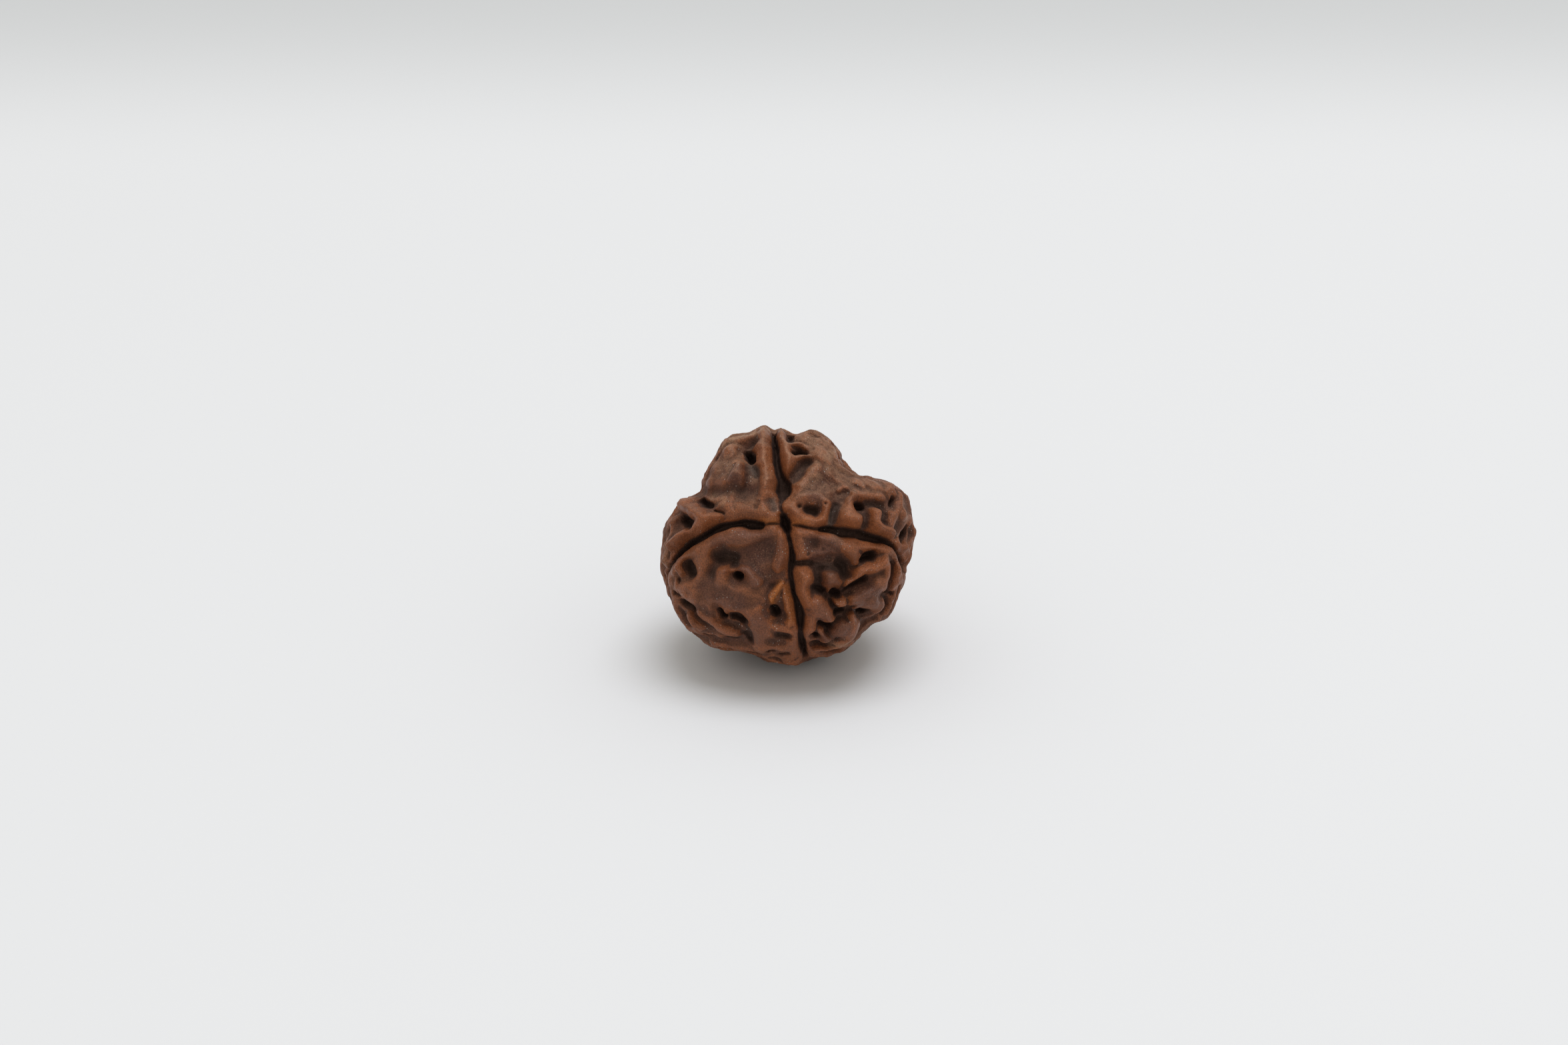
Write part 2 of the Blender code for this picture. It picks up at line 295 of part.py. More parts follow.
LOWER_LEFT_RIDGES = (
    (0.20, ((-1.1, -0.5, 0.26), (-2.0, -0.7, 0.36), (-3.0, -0.85, 0.45), (-4.2, -0.95, 0.5),
            (-5.3, -1.2, 0.5), (-6.5, -1.65, 0.55), (-7.5, -2.0, 0.5))),
    (0.45, ((-7.9, -2.1, 0.4), (-8.7, -2.4, 0.4), (-9.3, -2.9, 0.34), (-9.35, -3.6, 0.26),
            (-9.1, -4.3, 0.24))),
    (0.60, ((-0.45, -0.8, 0.24), (-0.4, -1.6, 0.34), (-0.5, -2.6, 0.4), (-0.7, -3.4, 0.4))),
    (0.55, ((-5.3, -4.0, 0.5), (-5.6, -4.9, 0.7))),
    (0.65, ((-4.4, -3.75, 0.3), (-3.5, -4.1, 0.38), (-2.7, -4.85, 0.38))),
    (0.20, ((-7.2, -2.9, 0.7), (-7.4, -4.2, 0.7))),
    (0.40, ((-9.3, -5.3, 0.35), (-8.6, -5.9, 0.6), (-7.2, -6.2, 0.9), (-5.0, -6.4, 1.0),
            (-3.0, -6.2, 0.9))),
    (0.50, ((-8.2, -7.8, 0.5), (-7.9, -8.5, 0.6))),
    (0.60, ((-5.2, -7.5, 0.18), (-5.15, -7.85, 0.14))),
    (0.45, ((-7.4, -7.9, 0.4), (-6.3, -8.5, 0.5), (-5.3, -9.1, 0.45), (-4.5, -9.4, 0.34))),
    (0.50, ((-0.35, -5.05, 0.16), (-0.9, -5.6, 0.2), (-1.3, -6.2, 0.22), (-1.3, -6.7, 0.12))),
    (0.40, ((-0.1, -5.4, 0.26), (0.1, -6.5, 0.3), (0.05, -7.3, 0.3), (0.25, -8.2, 0.34))),
    (0.65, ((-2.6, -7.6, 0.6), (-2.5, -8.6, 0.75), (-2.2, -9.6, 0.6), (-2.2, -10.6, 0.6))),
    (0.35, ((-0.9, -8.9, 0.34), (0.2, -9.0, 0.32))),
    (0.35, ((-1.2, -10.5, 0.34), (0.3, -10.5, 0.45))),
    (0.40, ((-2.4, -11.5, 0.26), (-0.5, -11.85, 0.3), (1.2, -11.7, 0.3))),
)

# Relief settings. A hollow's wall runs from the first to the second share of its softness
# past the edge, and a wider, gentler mouth has its own share of the depth. A ridge reaches
# out to this many of its half widths, and is gone where a hollow is COVERED_BY deep.
WALL = (1.1, -0.5)
LIP_ROUNDING = 1.2
MOUTH_REACH = 1.0
MOUTH_SHARE = 0.30
RIDGE_SKIRT = 2.0
RIDGE_FOOT = 1.3
RIDGE_COVER = 1.7
JOIN_POWER = 4.0
COVERED_BY = 0.8
WANDER = ((2.2, 0.20), (0.8, 0.09))
SWELL = ((3.4, 0.25), (1.7, 0.20), (0.9, 0.13), (0.5, 0.06))

# The raised net of the sides and back, laid out on a sphere: cells this far apart, some of
# them pits of seeded depth and the rest plates, and a second net of small pits on top.
NETS = (
    {"spacing": 2.7, "pit_share": 0.62, "depths": (0.5, 1.4), "plate": 0.25, "wall": (0.25, 1.5)},
    {"spacing": 1.5, "pit_share": 0.16, "depths": (0.4, 0.8), "plate": 0.0, "wall": (0.35, 0.9)},
)
NET_RADIUS = 10.0
CELL_TRIES = 9000
CELL_GAP = 0.82
NET_WANDER = ((3.5, 1.1), (1.3, 0.45))
NET_FROM_DEG = (64.0, 80.0)

# Ridges, then hollows, fade near the outline, which has its own, and all relief fades over
# the spot that it rests on.
RIDGE_RIM_DEG = (5.0, 20.0)
RIDGE_RIM_LEAST = 0.1
HOLLOW_RIM_DEG = (2.0, 10.0)
HOLLOW_RIM_LEAST = 0.45
SEAM_RIM_LEAST = 0.7
FOOT_FADE_DEG = (11.0, 21.0)
FOOT_CUT = 0.30

SUBDIVISIONS = 7
# The share of the faces that is kept, and how near the foot's plane a vertex is moved to it.
KEPT_SHARE = 0.135
SNAP = 0.05
SHARP_DEG = 50.0
NOISE_SIZE = 32
SEEDS = {"wander": 11, "swell": 23, "net": 37, "cells": 41}

COLOUR = (0.094, 0.042, 0.023, 1.0)
ROUGHNESS = 0.62


def smooth_step(low, high, value):
    """0 at low, 1 at high, with level ends."""
    t = np.clip((value - low) / (high - low), 0.0, 1.0)
    return t * t * (3.0 - 2.0 * t)


def noise(points, cell, table):
    """Smooth noise from -1 to 1 that repeats only past the seed's size."""
    scaled = points / cell
    corner = np.floor(scaled).astype(int)
    part = scaled - corner
    part = part * part * (3.0 - 2.0 * part)
    total = np.zeros(len(points))
    for step in product((0, 1), repeat=3):
        share = np.prod(np.where(step, part, 1.0 - part), axis=1)
        x, y, z = ((corner + step) % NOISE_SIZE).T
        total += share * table[x, y, z]
    return total


def noise_table(name, count):
    random = np.random.default_rng(SEEDS[name])
    return random.uniform(-1.0, 1.0, (count, NOISE_SIZE, NOISE_SIZE, NOISE_SIZE))


def wandered(points, scales, name):
    """The points moved about a little, so that no edge drawn at them is straight."""
    tables = noise_table(name, 3)
    moved = points.copy()
    for cell, amount in scales:
        moved += amount * np.column_stack([noise(points, cell, table) for table in tables])
    return moved


def outline_rings():
    """Radius of the body, and what the rim adds to it, at even angles round the middle."""
    knots = np.array(OUTLINE) - MIDDLE
    turns = np.linspace(0.0, 2.0 * math.pi, OUTLINE_STEPS, endpoint=False)
    knot_turns = np.arctan2(knots[:, 1], knots[:, 0])
    radii = np.interp(turns, knot_turns, np.hypot(*knots.T), period=2.0 * math.pi)
    spectrum = np.fft.rfft(radii)
    order = np.arange(len(spectrum))
    body = np.fft.irfft(spectrum * np.exp(-((order / BODY_HARMONICS) ** 2)), OUTLINE_STEPS)
    whole = np.fft.irfft(spectrum * np.exp(-((order / RIM_HARMONICS) ** 2)), OUTLINE_STEPS)
    return body, whole - body


BODY_RING, RIM_RING = outline_rings()


def ring_value(ring, turns):
    places = np.linspace(0.0, 2.0 * math.pi, OUTLINE_STEPS, endpoint=False)
    return np.interp(turns, places, ring, period=2.0 * math.pi)


def base_radius(rays):
    """Radius of the seed without its relief, along unit rays from its middle."""
    turns = np.arctan2(rays[:, 1], rays[:, 0])
    across = np.hypot(rays[:, 0], rays[:, 1]) / ring_value(BODY_RING, turns)
    through = np.abs(rays[:, 2]) / HALF_DEPTH
    radius = (across**SQUARENESS + through**SQUARENESS) ** (-1.0 / SQUARENESS)
    above_rim = np.degrees(np.arcsin(np.clip(rays[:, 2], -1.0, 1.0)))
    return radius + ring_value(RIM_RING, turns) * np.exp(-((above_rim / RIM_BAND_DEG) ** 2))


def lifted(path, side):
    """Points of the face map on the base surface, at the front (side 1) or back (-1)."""
    flat = np.array(path)[:, :2] - MIDDLE
    depth = np.full(len(flat), HALF_DEPTH)
    for _ in range(SPOT_ROUNDS):
        spots = np.column_stack([flat, side * depth])
        length = np.linalg.norm(spots, axis=1)
        radius = base_radius(spots / length[:, None])
        depth = np.sqrt(np.clip(radius**2 - (flat**2).sum(axis=1), 0.0, None))
    return spots


def from_band(points, path, side):
    """Distance past the edge of a band along path, and distance from its middle line
    as a share of its half width there."""
    spine = lifted(path, side)
    widths = np.array(path)[:, 2]
    past, share = np.full(len(points), np.inf), np.full(len(points), np.inf)
    for k in range(max(1, len(spine) - 1)):
        start, end = spine[k], spine[min(k + 1, len(spine) - 1)]
        run = end - start
        along = np.clip((points - start) @ run / max(run @ run, 1e-9), 0.0, 1.0)
        width = widths[k] + along * (widths[min(k + 1, len(spine) - 1)] - widths[k])
        apart = np.linalg.norm(points - start - along[:, None] * run, axis=1)
        nearer = apart - width < past
        past = np.where(nearer, apart - width, past)
        share = np.where(nearer, apart / width, share)
    return past, share


def near(points, path, side):
    """Indices of the points that a feature on this path can reach."""
    spine = lifted(path, side)
    middle = spine.mean(axis=0)
    reach = np.linalg.norm(spine - middle, axis=1).max() + FEATURE_REACH
    return np.flatnonzero(((points - middle) ** 2).sum(axis=1) < reach**2)


def joined(points, features, side, shape):
    """The features' amounts, blended so that where two meet the larger one counts."""
    total = np.zeros(len(points))
    for size, *soft, path in features:
        reached = near(points, path, side)
        past, share = from_band(points[reached], path, side)
        total[reached] += shape(size, soft, past, share) ** JOIN_POWER
    return total ** (1.0 / JOIN_POWER)


def larger(one, other):
    """The larger of two amounts, rounded where they are alike."""
    return (one**JOIN_POWER + other**JOIN_POWER) ** (1.0 / JOIN_POWER)


def hollow(depth, soft, past, share):
    wall = smooth_step(WALL[0] * soft[0], WALL[1] * soft[0], past) ** LIP_ROUNDING
    mouth = smooth_step(MOUTH_REACH, -MOUTH_REACH / 3.0, past)
    return depth * (wall + MOUTH_SHARE * (mouth - wall))


def ridge(height, soft, past, share):
    """How much of a ridge covers each point, and so how far it lifts out of the lowland."""
    return height * np.clip(1.0 - (share / RIDGE_SKIRT) ** 2, 0.0, 1.0) ** RIDGE_FOOT


def placed_relief(points):
    """Depth of the seams and of the other hollows, and height of the ground, from the map."""
    pits = (*UPPER_LEFT_HOLLOWS, *UPPER_RIGHT_HOLLOWS, *LOWER_RIGHT_HOLLOWS)
    pits += LOWER_LEFT_HOLLOWS
    ridges = (*UPPER_LEFT_RIDGES, *UPPER_RIGHT_RIDGES, *LOWER_RIGHT_RIDGES)
    ridges += LOWER_LEFT_RIDGES
    seams = np.maximum(joined(points, SEAMS, 1, hollow), joined(points, BACK_SEAMS, -1, hollow))
    hollows = joined(points, pits, 1, hollow)
    low = joined(points, LOWLANDS, 1, hollow)
    raised = joined(points, ridges, 1, ridge)
    covers = joined(points, [(1.0, path) for _, path in ridges], 1, ridge)
    ground = raised - low * (1.0 - np.clip(RIDGE_COVER * covers, 0.0, 1.0))
    return seams, hollows, ground


def cell_middles(spacing, random):
    """Points spread over the sphere, none much nearer to another than the spacing."""
    kept = np.empty((0, 3))
    for spot in random.normal(size=(CELL_TRIES, 3)):
        spot = NET_RADIUS * spot / np.linalg.norm(spot)
        if not (((kept - spot) ** 2).sum(axis=1) < (spacing * CELL_GAP) ** 2).any():
            kept = np.vstack([kept, spot])
    return kept


def net_depth(rays):
    """Depth of the pits between the strands of the raised net, over the whole sphere."""
    spots = wandered(NET_RADIUS * rays, NET_WANDER, "net")
    total = np.zeros(len(rays))
    random = np.random.default_rng(SEEDS["cells"])
    for net in NETS:
        middles = cell_middles(net["spacing"], random)
        pits = random.uniform(size=len(middles)) < net["pit_share"]
        depths = np.where(pits, random.uniform(*net["depths"], len(middles)), net["plate"])
        first, second = np.full(len(spots), np.inf), np.full(len(spots), np.inf)
        own = np.zeros(len(spots), dtype=int)
        for index, middle in enumerate(middles):
            apart = ((spots - middle) ** 2).sum(axis=1)
            nearest = apart < first
            second = np.where(nearest, first, np.minimum(second, apart))
            first = np.where(nearest, apart, first)
            own = np.where(nearest, index, own)
        border = np.sqrt(second) - np.sqrt(first)
        total += depths[own] * smooth_step(*net["wall"], border)
    return total


def swell(points):
    tables = noise_table("swell", len(SWELL))
    return sum(a * noise(points, cell, table) for (cell, a), table in zip(SWELL, tables))


def foot_ray():
    """The ray that points straight down as the seed rests."""
    lean = math.radians(LEAN_DEG)
    return np.array([0.0, -math.cos(lean), -math.sin(lean)])


def outward(rays):
    """The unit direction that relief takes on each ray."""
    leaning = rays * (1.0, 1.0, LEAN_TO_AXIS)
    return leaning / np.linalg.norm(leaning, axis=1)[:, None]


def seed_relief(rays):
    """Base points and outward directions, depth of the hollows and height of the ground."""
    base = rays * base_radius(rays)[:, None]
    seams, hollows, ground = placed_relief(wandered(base, WANDER, "wander"))
    from_front = np.degrees(np.arccos(np.clip(rays[:, 2], -1.0, 1.0)))
    from_rim = np.abs(from_front - 90.0)
    net = net_depth(rays) * smooth_step(*NET_FROM_DEG, from_front)
    inner = smooth_step(*HOLLOW_RIM_DEG, from_rim)
    hollows = larger(hollows, net) * (HOLLOW_RIM_LEAST + (1.0 - HOLLOW_RIM_LEAST) * inner)
    hollows = larger(hollows, seams * (SEAM_RIM_LEAST + (1.0 - SEAM_RIM_LEAST) * inner))
    raised = ground * np.clip(1.0 - hollows / COVERED_BY, 0.0, 1.0) + swell(base)
    raised *= RIDGE_RIM_LEAST + (1.0 - RIDGE_RIM_LEAST) * smooth_step(*RIDGE_RIM_DEG, from_rim)
    from_foot = np.degrees(np.arccos(np.clip(rays @ foot_ray(), -1.0, 1.0)))
    foot = smooth_step(*FOOT_FADE_DEG, from_foot)
    return base, outward(rays), hollows * foot, raised * foot


def standing(points):
    """Face-map points turned so that +Z is up and the front faces -Y, in millimetres."""
    lean = math.radians(LEAN_DEG)
    x, y, w = points.T
    back = y * math.sin(lean) - w * math.cos(lean)
    up = y * math.cos(lean) + w * math.sin(lean)
    return np.column_stack([x, back, up])


def fine_mesh():
    """An icosphere pulled out to the seed's surface, with far more faces than are kept."""
    mesh = bpy.data.meshes.new(NAME)
    shape = bmesh.new()
    bmesh.ops.create_icosphere(shape, subdivisions=SUBDIVISIONS, radius=1.0)
    shape.to_mesh(mesh)
    shape.free()
    rays = np.empty(len(mesh.vertices) * 3, np.float32)
    mesh.vertices.foreach_get("co", rays)
    rays = rays.reshape(-1, 3).astype(float)
    rays /= np.linalg.norm(rays, axis=1)[:, None]
    base, out, hollows, raised = seed_relief(rays)
    points = standing(base + out * (raised - hollows)[:, None]) * MM
    mesh.vertices.foreach_set("co", points.astype(np.float32).ravel())
    mesh.update()
    return mesh


def thinned(mesh, collection):
    """The mesh with fewer faces, kept small where the surface bends most."""
    full = bpy.data.objects.new("full_mesh", mesh)
    collection.objects.link(full)
    modifier = full.modifiers.new("thin_out", "DECIMATE")
    modifier.ratio = KEPT_SHARE
    evaluated = full.evaluated_get(bpy.context.evaluated_depsgraph_get())
    thin = bpy.data.meshes.new_from_object(evaluated)
    bpy.data.objects.remove(full)
    bpy.data.meshes.remove(mesh)
    return thin


def cut_foot(mesh):
    """Cuts the small flat spot, and puts the origin under the middle of the seed's box."""
    shape = bmesh.new()
    shape.from_mesh(mesh)
    floor = min(vertex.co.z for vertex in shape.verts) + FOOT_CUT * MM
    for vertex in shape.verts:
        if abs(vertex.co.z - floor) < SNAP * MM:
            vertex.co.z = floor
    geometry = [*shape.verts, *shape.edges, *shape.faces]
    bmesh.ops.bisect_plane(
        shape, geom=geometry, dist=1e-7, plane_co=(0, 0, floor), plane_no=(0, 0, 1), clear_inner=True
    )
    rim = [edge for edge in shape.edges if edge.is_boundary]
    bmesh.ops.holes_fill(shape, edges=rim, sides=0)
    bmesh.ops.recalc_face_normals(shape, faces=shape.faces)
    for axis in (0, 1):
        spread = [vertex.co[axis] for vertex in shape.verts]
        middle = (min(spread) + max(spread)) / 2.0
        for vertex in shape.verts:
            vertex.co[axis] -= middle
    for vertex in shape.verts:
        vertex.co.z -= floor
    shape.to_mesh(mesh)
    shape.free()


def seed_material():
    material = bpy.data.materials.new("seed_brown")
    material.use_nodes = True
    shader = material.node_tree.nodes["Principled BSDF"]
    shader.inputs["Base Color"].default_value = COLOUR
    shader.inputs["Roughness"].default_value = ROUGHNESS
    shader.inputs["Metallic"].default_value = 0.0
    return material


def main():
    for old in list(bpy.data.objects):
        bpy.data.objects.remove(old)
    collection = bpy.data.collections.new("rudraksha")
    bpy.context.scene.collection.children.link(collection)
    mesh = thinned(fine_mesh(), collection)
    cut_foot(mesh)
    mesh.name = NAME
    mesh.materials.append(seed_material())
    mesh.shade_smooth()
    mesh.set_sharp_from_angle(angle=math.radians(SHARP_DEG))
    collection.objects.link(bpy.data.objects.new(NAME, mesh))


main()
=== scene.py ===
"""The rudraksha seed as it looks in the photo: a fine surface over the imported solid, with a
waxy, dusty brown skin, on a pale floor under soft light.

The surface is a formula. The vertices of a fine cube grid go out on rays from the seed's
middle to a smooth form with the rim's outline. From there the relief takes them in or out
along lines that lean towards the viewing axis: four seams that meet in an eye, pits, troughs
and raised ridges, each named by its place, and a raised net with pits over the side turned
away from the eye. The same formula made the solid.

Its lengths are millimetres on a face map. The map is the seed seen square on to its front:
x to the right, y up, w towards the viewer, from the eye.
"""

import math
from itertools import product

import bmesh
import bpy
import numpy as np
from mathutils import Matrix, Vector


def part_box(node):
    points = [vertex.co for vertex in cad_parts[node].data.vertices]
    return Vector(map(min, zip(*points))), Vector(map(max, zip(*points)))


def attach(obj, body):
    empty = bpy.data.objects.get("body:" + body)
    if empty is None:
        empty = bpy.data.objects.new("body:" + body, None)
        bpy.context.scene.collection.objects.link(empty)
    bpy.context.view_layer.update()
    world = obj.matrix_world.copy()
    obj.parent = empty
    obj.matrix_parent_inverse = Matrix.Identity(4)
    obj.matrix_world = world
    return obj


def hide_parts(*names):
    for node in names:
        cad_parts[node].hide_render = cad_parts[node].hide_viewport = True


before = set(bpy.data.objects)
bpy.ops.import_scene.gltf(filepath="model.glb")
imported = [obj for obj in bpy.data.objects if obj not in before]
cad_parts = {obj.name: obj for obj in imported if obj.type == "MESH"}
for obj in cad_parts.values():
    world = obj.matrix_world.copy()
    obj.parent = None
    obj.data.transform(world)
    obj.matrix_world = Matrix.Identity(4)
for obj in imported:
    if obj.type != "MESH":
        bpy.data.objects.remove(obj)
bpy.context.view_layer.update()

NODE = "rudraksha_seed"
MM = 0.001

# The front leans back by this much, so the eye looks up and forward as it rests.
LEAN_DEG = 25.0
# The middle of the body on the face map, below the eye.
MIDDLE = np.array([0.05, -1.87])
# Half the depth of the body through its front and back, and how square its section is.
HALF_DEPTH = 9.35
SQUARENESS = 2.3

# Relief goes in and out along lines that lean from the vertex's ray towards the viewing
# axis, by this factor on their w. So a pit's walls stand nearly square to the face map.
LEAN_TO_AXIS = 3.5

# The outline on the face map, clockwise from the left shoulder.
OUTLINE = (
    (-9.5, 1.6), (-8.6, 2.2), (-7.6, 2.65), (-7.42, 2.85), (-7.43, 3.6), (-7.05, 4.45),
    (-6.85, 5.0), (-6.25, 5.7), (-6.0, 6.45), (-5.6, 7.15), (-4.75, 7.7), (-3.4, 7.8),
    (-2.8, 8.15), (-2.1, 8.55), (-1.7, 8.45), (-1.22, 7.95), (-0.8, 8.25), (-0.3, 8.2),
    (0.1, 7.72), (0.85, 7.5), (1.3, 7.8), (1.9, 8.2), (3.0, 7.8), (3.85, 7.15),
    (4.4, 6.45), (4.72, 5.65), (5.5, 4.6), (6.1, 3.95), (6.9, 4.2), (7.3, 3.9),
    (8.5, 3.7), (9.6, 3.05), (10.45, 2.1), (10.7, 1.0), (10.75, 0.1), (11.08, -0.8),
    (10.75, -2.0), (10.6, -3.1), (10.2, -3.8), (10.27, -4.45), (9.63, -6.1), (9.1, -7.4),
    (8.3, -8.4), (7.25, -8.7), (6.4, -9.6), (5.2, -10.8), (4.5, -11.15), (4.1, -11.1),
    (3.35, -11.6), (2.95, -11.45), (1.65, -11.85), (0.5, -12.32), (-0.9, -11.95),
    (-1.9, -11.9), (-2.8, -11.3), (-4.0, -11.05), (-6.6, -10.68), (-7.6, -10.0),
    (-8.5, -9.3), (-9.5, -7.95), (-10.4, -6.0), (-10.6, -4.95), (-10.95, -4.2),
    (-10.88, -2.3), (-10.6, 0.0), (-9.95, 0.85),
)
# Harmonics of the outline up to about this one shape the whole body. Finer ones stay near
# the rim, in a band this wide.
BODY_HARMONICS = 8.0
RIM_HARMONICS = 80.0
RIM_BAND_DEG = 20.0
OUTLINE_STEPS = 720
# Rounds that bring a point of the face map on to the base surface, and how far from its
# path a feature can reach.
SPOT_ROUNDS = 12
FEATURE_REACH = 3.0

# Hollows: depth, softness of the wall, and a path of x, y and half width.
# The four seams that part the faces, the eye that they meet in, and their side channels.
SEAMS = (
    (2.5, 0.32, ((-0.36, 0.6, 0.16), (-0.2, 0.1, 0.34), (-0.06, -0.35, 0.2))),
    (1.0, 0.16, ((-0.3, 0.6, 0.07), (-0.5, 1.35, 0.07), (-0.5, 1.9, 0.1))),
    (2.2, 0.20, ((-0.5, 2.0, 0.1), (-0.38, 2.5, 0.34), (-0.25, 3.0, 0.6), (-0.3, 3.45, 0.56),
                 (-0.65, 4.0, 0.32), (-0.88, 4.6, 0.22), (-1.0, 5.4, 0.2), (-1.08, 6.2, 0.19),
                 (-1.1, 7.0, 0.17), (-1.18, 7.9, 0.1))),
    (1.0, 0.45, ((0.2, 3.7, 0.3), (0.9, 4.4, 0.38), (1.6, 5.15, 0.3))),
    (0.8, 0.14, ((-0.7, 0.0, 0.06), (-1.2, 0.03, 0.05), (-2.1, -0.02, 0.07))),
    (2.2, 0.16, ((-2.45, 0.0, 0.24), (-2.9, 0.02, 0.28), (-3.8, -0.02, 0.3),
                 (-4.9, -0.12, 0.24), (-5.7, -0.32, 0.3), (-6.6, -0.72, 0.28),
                 (-7.5, -1.15, 0.24), (-8.4, -1.6, 0.2), (-9.1, -2.05, 0.24),
                 (-9.6, -2.7, 0.26), (-10.0, -3.5, 0.16), (-10.5, -4.8, 0.14))),
    (0.8, 0.14, ((0.5, -0.1, 0.06), (1.2, -0.12, 0.05), (2.1, -0.3, 0.06), (2.8, -0.35, 0.1))),
    (2.1, 0.18, ((2.8, -0.38, 0.1), (3.6, -0.5, 0.24), (4.4, -0.78, 0.28), (5.2, -0.75, 0.27),
                 (6.2, -0.85, 0.3), (7.0, -1.08, 0.28), (7.8, -1.42, 0.23),
                 (8.4, -1.7, 0.14), (8.9, -1.95, 0.08), (9.3, -2.5, 0.08),
                 (9.7, -3.1, 0.18), (10.1, -3.8, 0.18))),
    (1.8, 0.16, ((0.0, -0.6, 0.08), (0.12, -1.5, 0.07), (0.25, -2.3, 0.09),
                 (0.4, -3.1, 0.2), (0.42, -3.5, 0.24), (0.32, -4.1, 0.16),
                 (0.4, -4.7, 0.13), (0.5, -5.4, 0.1), (0.6, -6.0, 0.08))),
    (2.0, 0.17, ((0.6, -6.0, 0.08), (0.78, -6.6, 0.15), (0.9, -7.2, 0.24), (1.0, -7.9, 0.3),
                 (1.05, -8.5, 0.22), (1.0, -9.1, 0.09), (1.05, -9.8, 0.22), (1.2, -10.5, 0.26),
                 (1.4, -11.0, 0.2), (1.6, -11.8, 0.14))),
    (1.5, 0.28, ((0.5, -3.35, 0.2), (1.0, -3.38, 0.14), (2.0, -3.45, 0.16))),
    (1.1, 0.60, ((2.0, -3.5, 0.16), (2.9, -3.5, 0.16), (3.9, -3.4, 0.2), (4.5, -3.4, 0.2))),
)
UPPER_LEFT_HOLLOWS = (
    (2.3, 0.26, ((-3.2, 5.5, 0.2), (-3.35, 5.9, 0.34), (-3.5, 6.3, 0.24))),
    (0.6, 0.60, ((-3.3, 6.6, 0.3), (-2.85, 7.0, 0.2))),
    (0.5, 0.40, ((-5.75, 6.4, 0.24),)),
    (0.7, 0.40, ((-3.35, 5.1, 0.2), (-2.95, 4.6, 0.26), (-2.8, 4.1, 0.2))),
    (0.7, 0.80, ((-4.35, 2.8, 0.4), (-3.7, 2.6, 0.4))),
    (0.35, 0.70, ((-5.9, 2.75, 0.3), (-5.0, 2.5, 0.2))),
    (1.7, 0.28, ((-7.45, 1.95, 0.16), (-7.1, 1.75, 0.26), (-6.65, 1.6, 0.2))),
    (0.7, 0.10, ((-5.5, 0.68, 0.07), (-5.8, 0.9, 0.05), (-6.3, 1.1, 0.04))),
    (2.0, 0.35, ((-9.2, 0.35, 0.24), (-8.8, 0.05, 0.34), (-8.35, -0.2, 0.2))),
    (1.1, 0.25, ((-10.3, -0.7, 0.2),)),
    (0.45, 0.80, ((-1.15, 1.3, 0.16), (-1.3, 1.9, 0.2))),
    (0.3, 0.25, ((-2.7, 1.4, 0.06), (-2.3, 2.0, 0.08))),
    (0.5, 0.30, ((-9.9, 0.5, 0.1), (-9.5, 0.8, 0.1))),
    (0.6, 0.30, ((-10.2, -2.1, 0.12), (-10.3, -3.0, 0.12))),
)
UPPER_RIGHT_HOLLOWS = (
    (1.5, 0.25, ((0.55, 6.05, 0.2), (0.95, 6.15, 0.3), (1.4, 6.0, 0.18))),
    (1.1, 0.25, ((0.25, 7.0, 0.16), (0.3, 7.45, 0.2))),
    (1.0, 0.35, ((6.1, 4.2, 0.4), (5.2, 4.85, 0.28), (4.6, 5.25, 0.2), (4.35, 5.8, 0.14),
                 (4.3, 6.4, 0.14), (4.2, 6.9, 0.14))),
    (0.35, 0.80, ((3.0, 3.3, 0.4), (3.6, 3.0, 0.3))),
    (0.3, 0.40, ((4.4, 2.5, 0.2), (4.9, 2.4, 0.2))),
    (0.5, 0.80, ((1.85, 1.5, 0.22), (2.4, 1.4, 0.24))),
    (1.4, 0.36, ((1.75, 1.22, 0.18), (2.35, 1.18, 0.22))),
    (0.5, 0.20, ((1.1, 1.5, 0.1),)),
    (0.35, 0.16, ((3.15, 1.6, 0.1),)),
    (1.0, 0.30, ((4.0, 1.5, 0.1), (3.85, 1.0, 0.18), (3.75, 0.4, 0.16), (3.65, -0.2, 0.18))),
    (2.1, 0.24, ((5.95, 1.55, 0.3), (6.35, 1.45, 0.3))),
    (1.0, 0.50, ((6.7, 1.72, 0.22), (7.4, 1.75, 0.18), (8.0, 1.45, 0.18), (8.25, 0.9, 0.12))),
    (1.0, 0.45, ((6.65, 0.6, 0.1), (6.6, 0.15, 0.1), (6.5, -0.4, 0.14))),
    (0.16, 0.30, ((6.65, 2.95, 0.12),)),
    (0.14, 0.20, ((5.7, 3.1, 0.1),)),
    (1.2, 0.16, ((8.15, 0.35, 0.16),)),
    (1.5, 0.18, ((8.85, 1.6, 0.14), (8.85, 2.15, 0.16))),
    (0.9, 0.35, ((9.3, -1.0, 0.2), (9.35, -0.4, 0.14))),
    (1.8, 0.30, ((9.9, -1.35, 0.3), (10.3, -0.7, 0.34))),
)
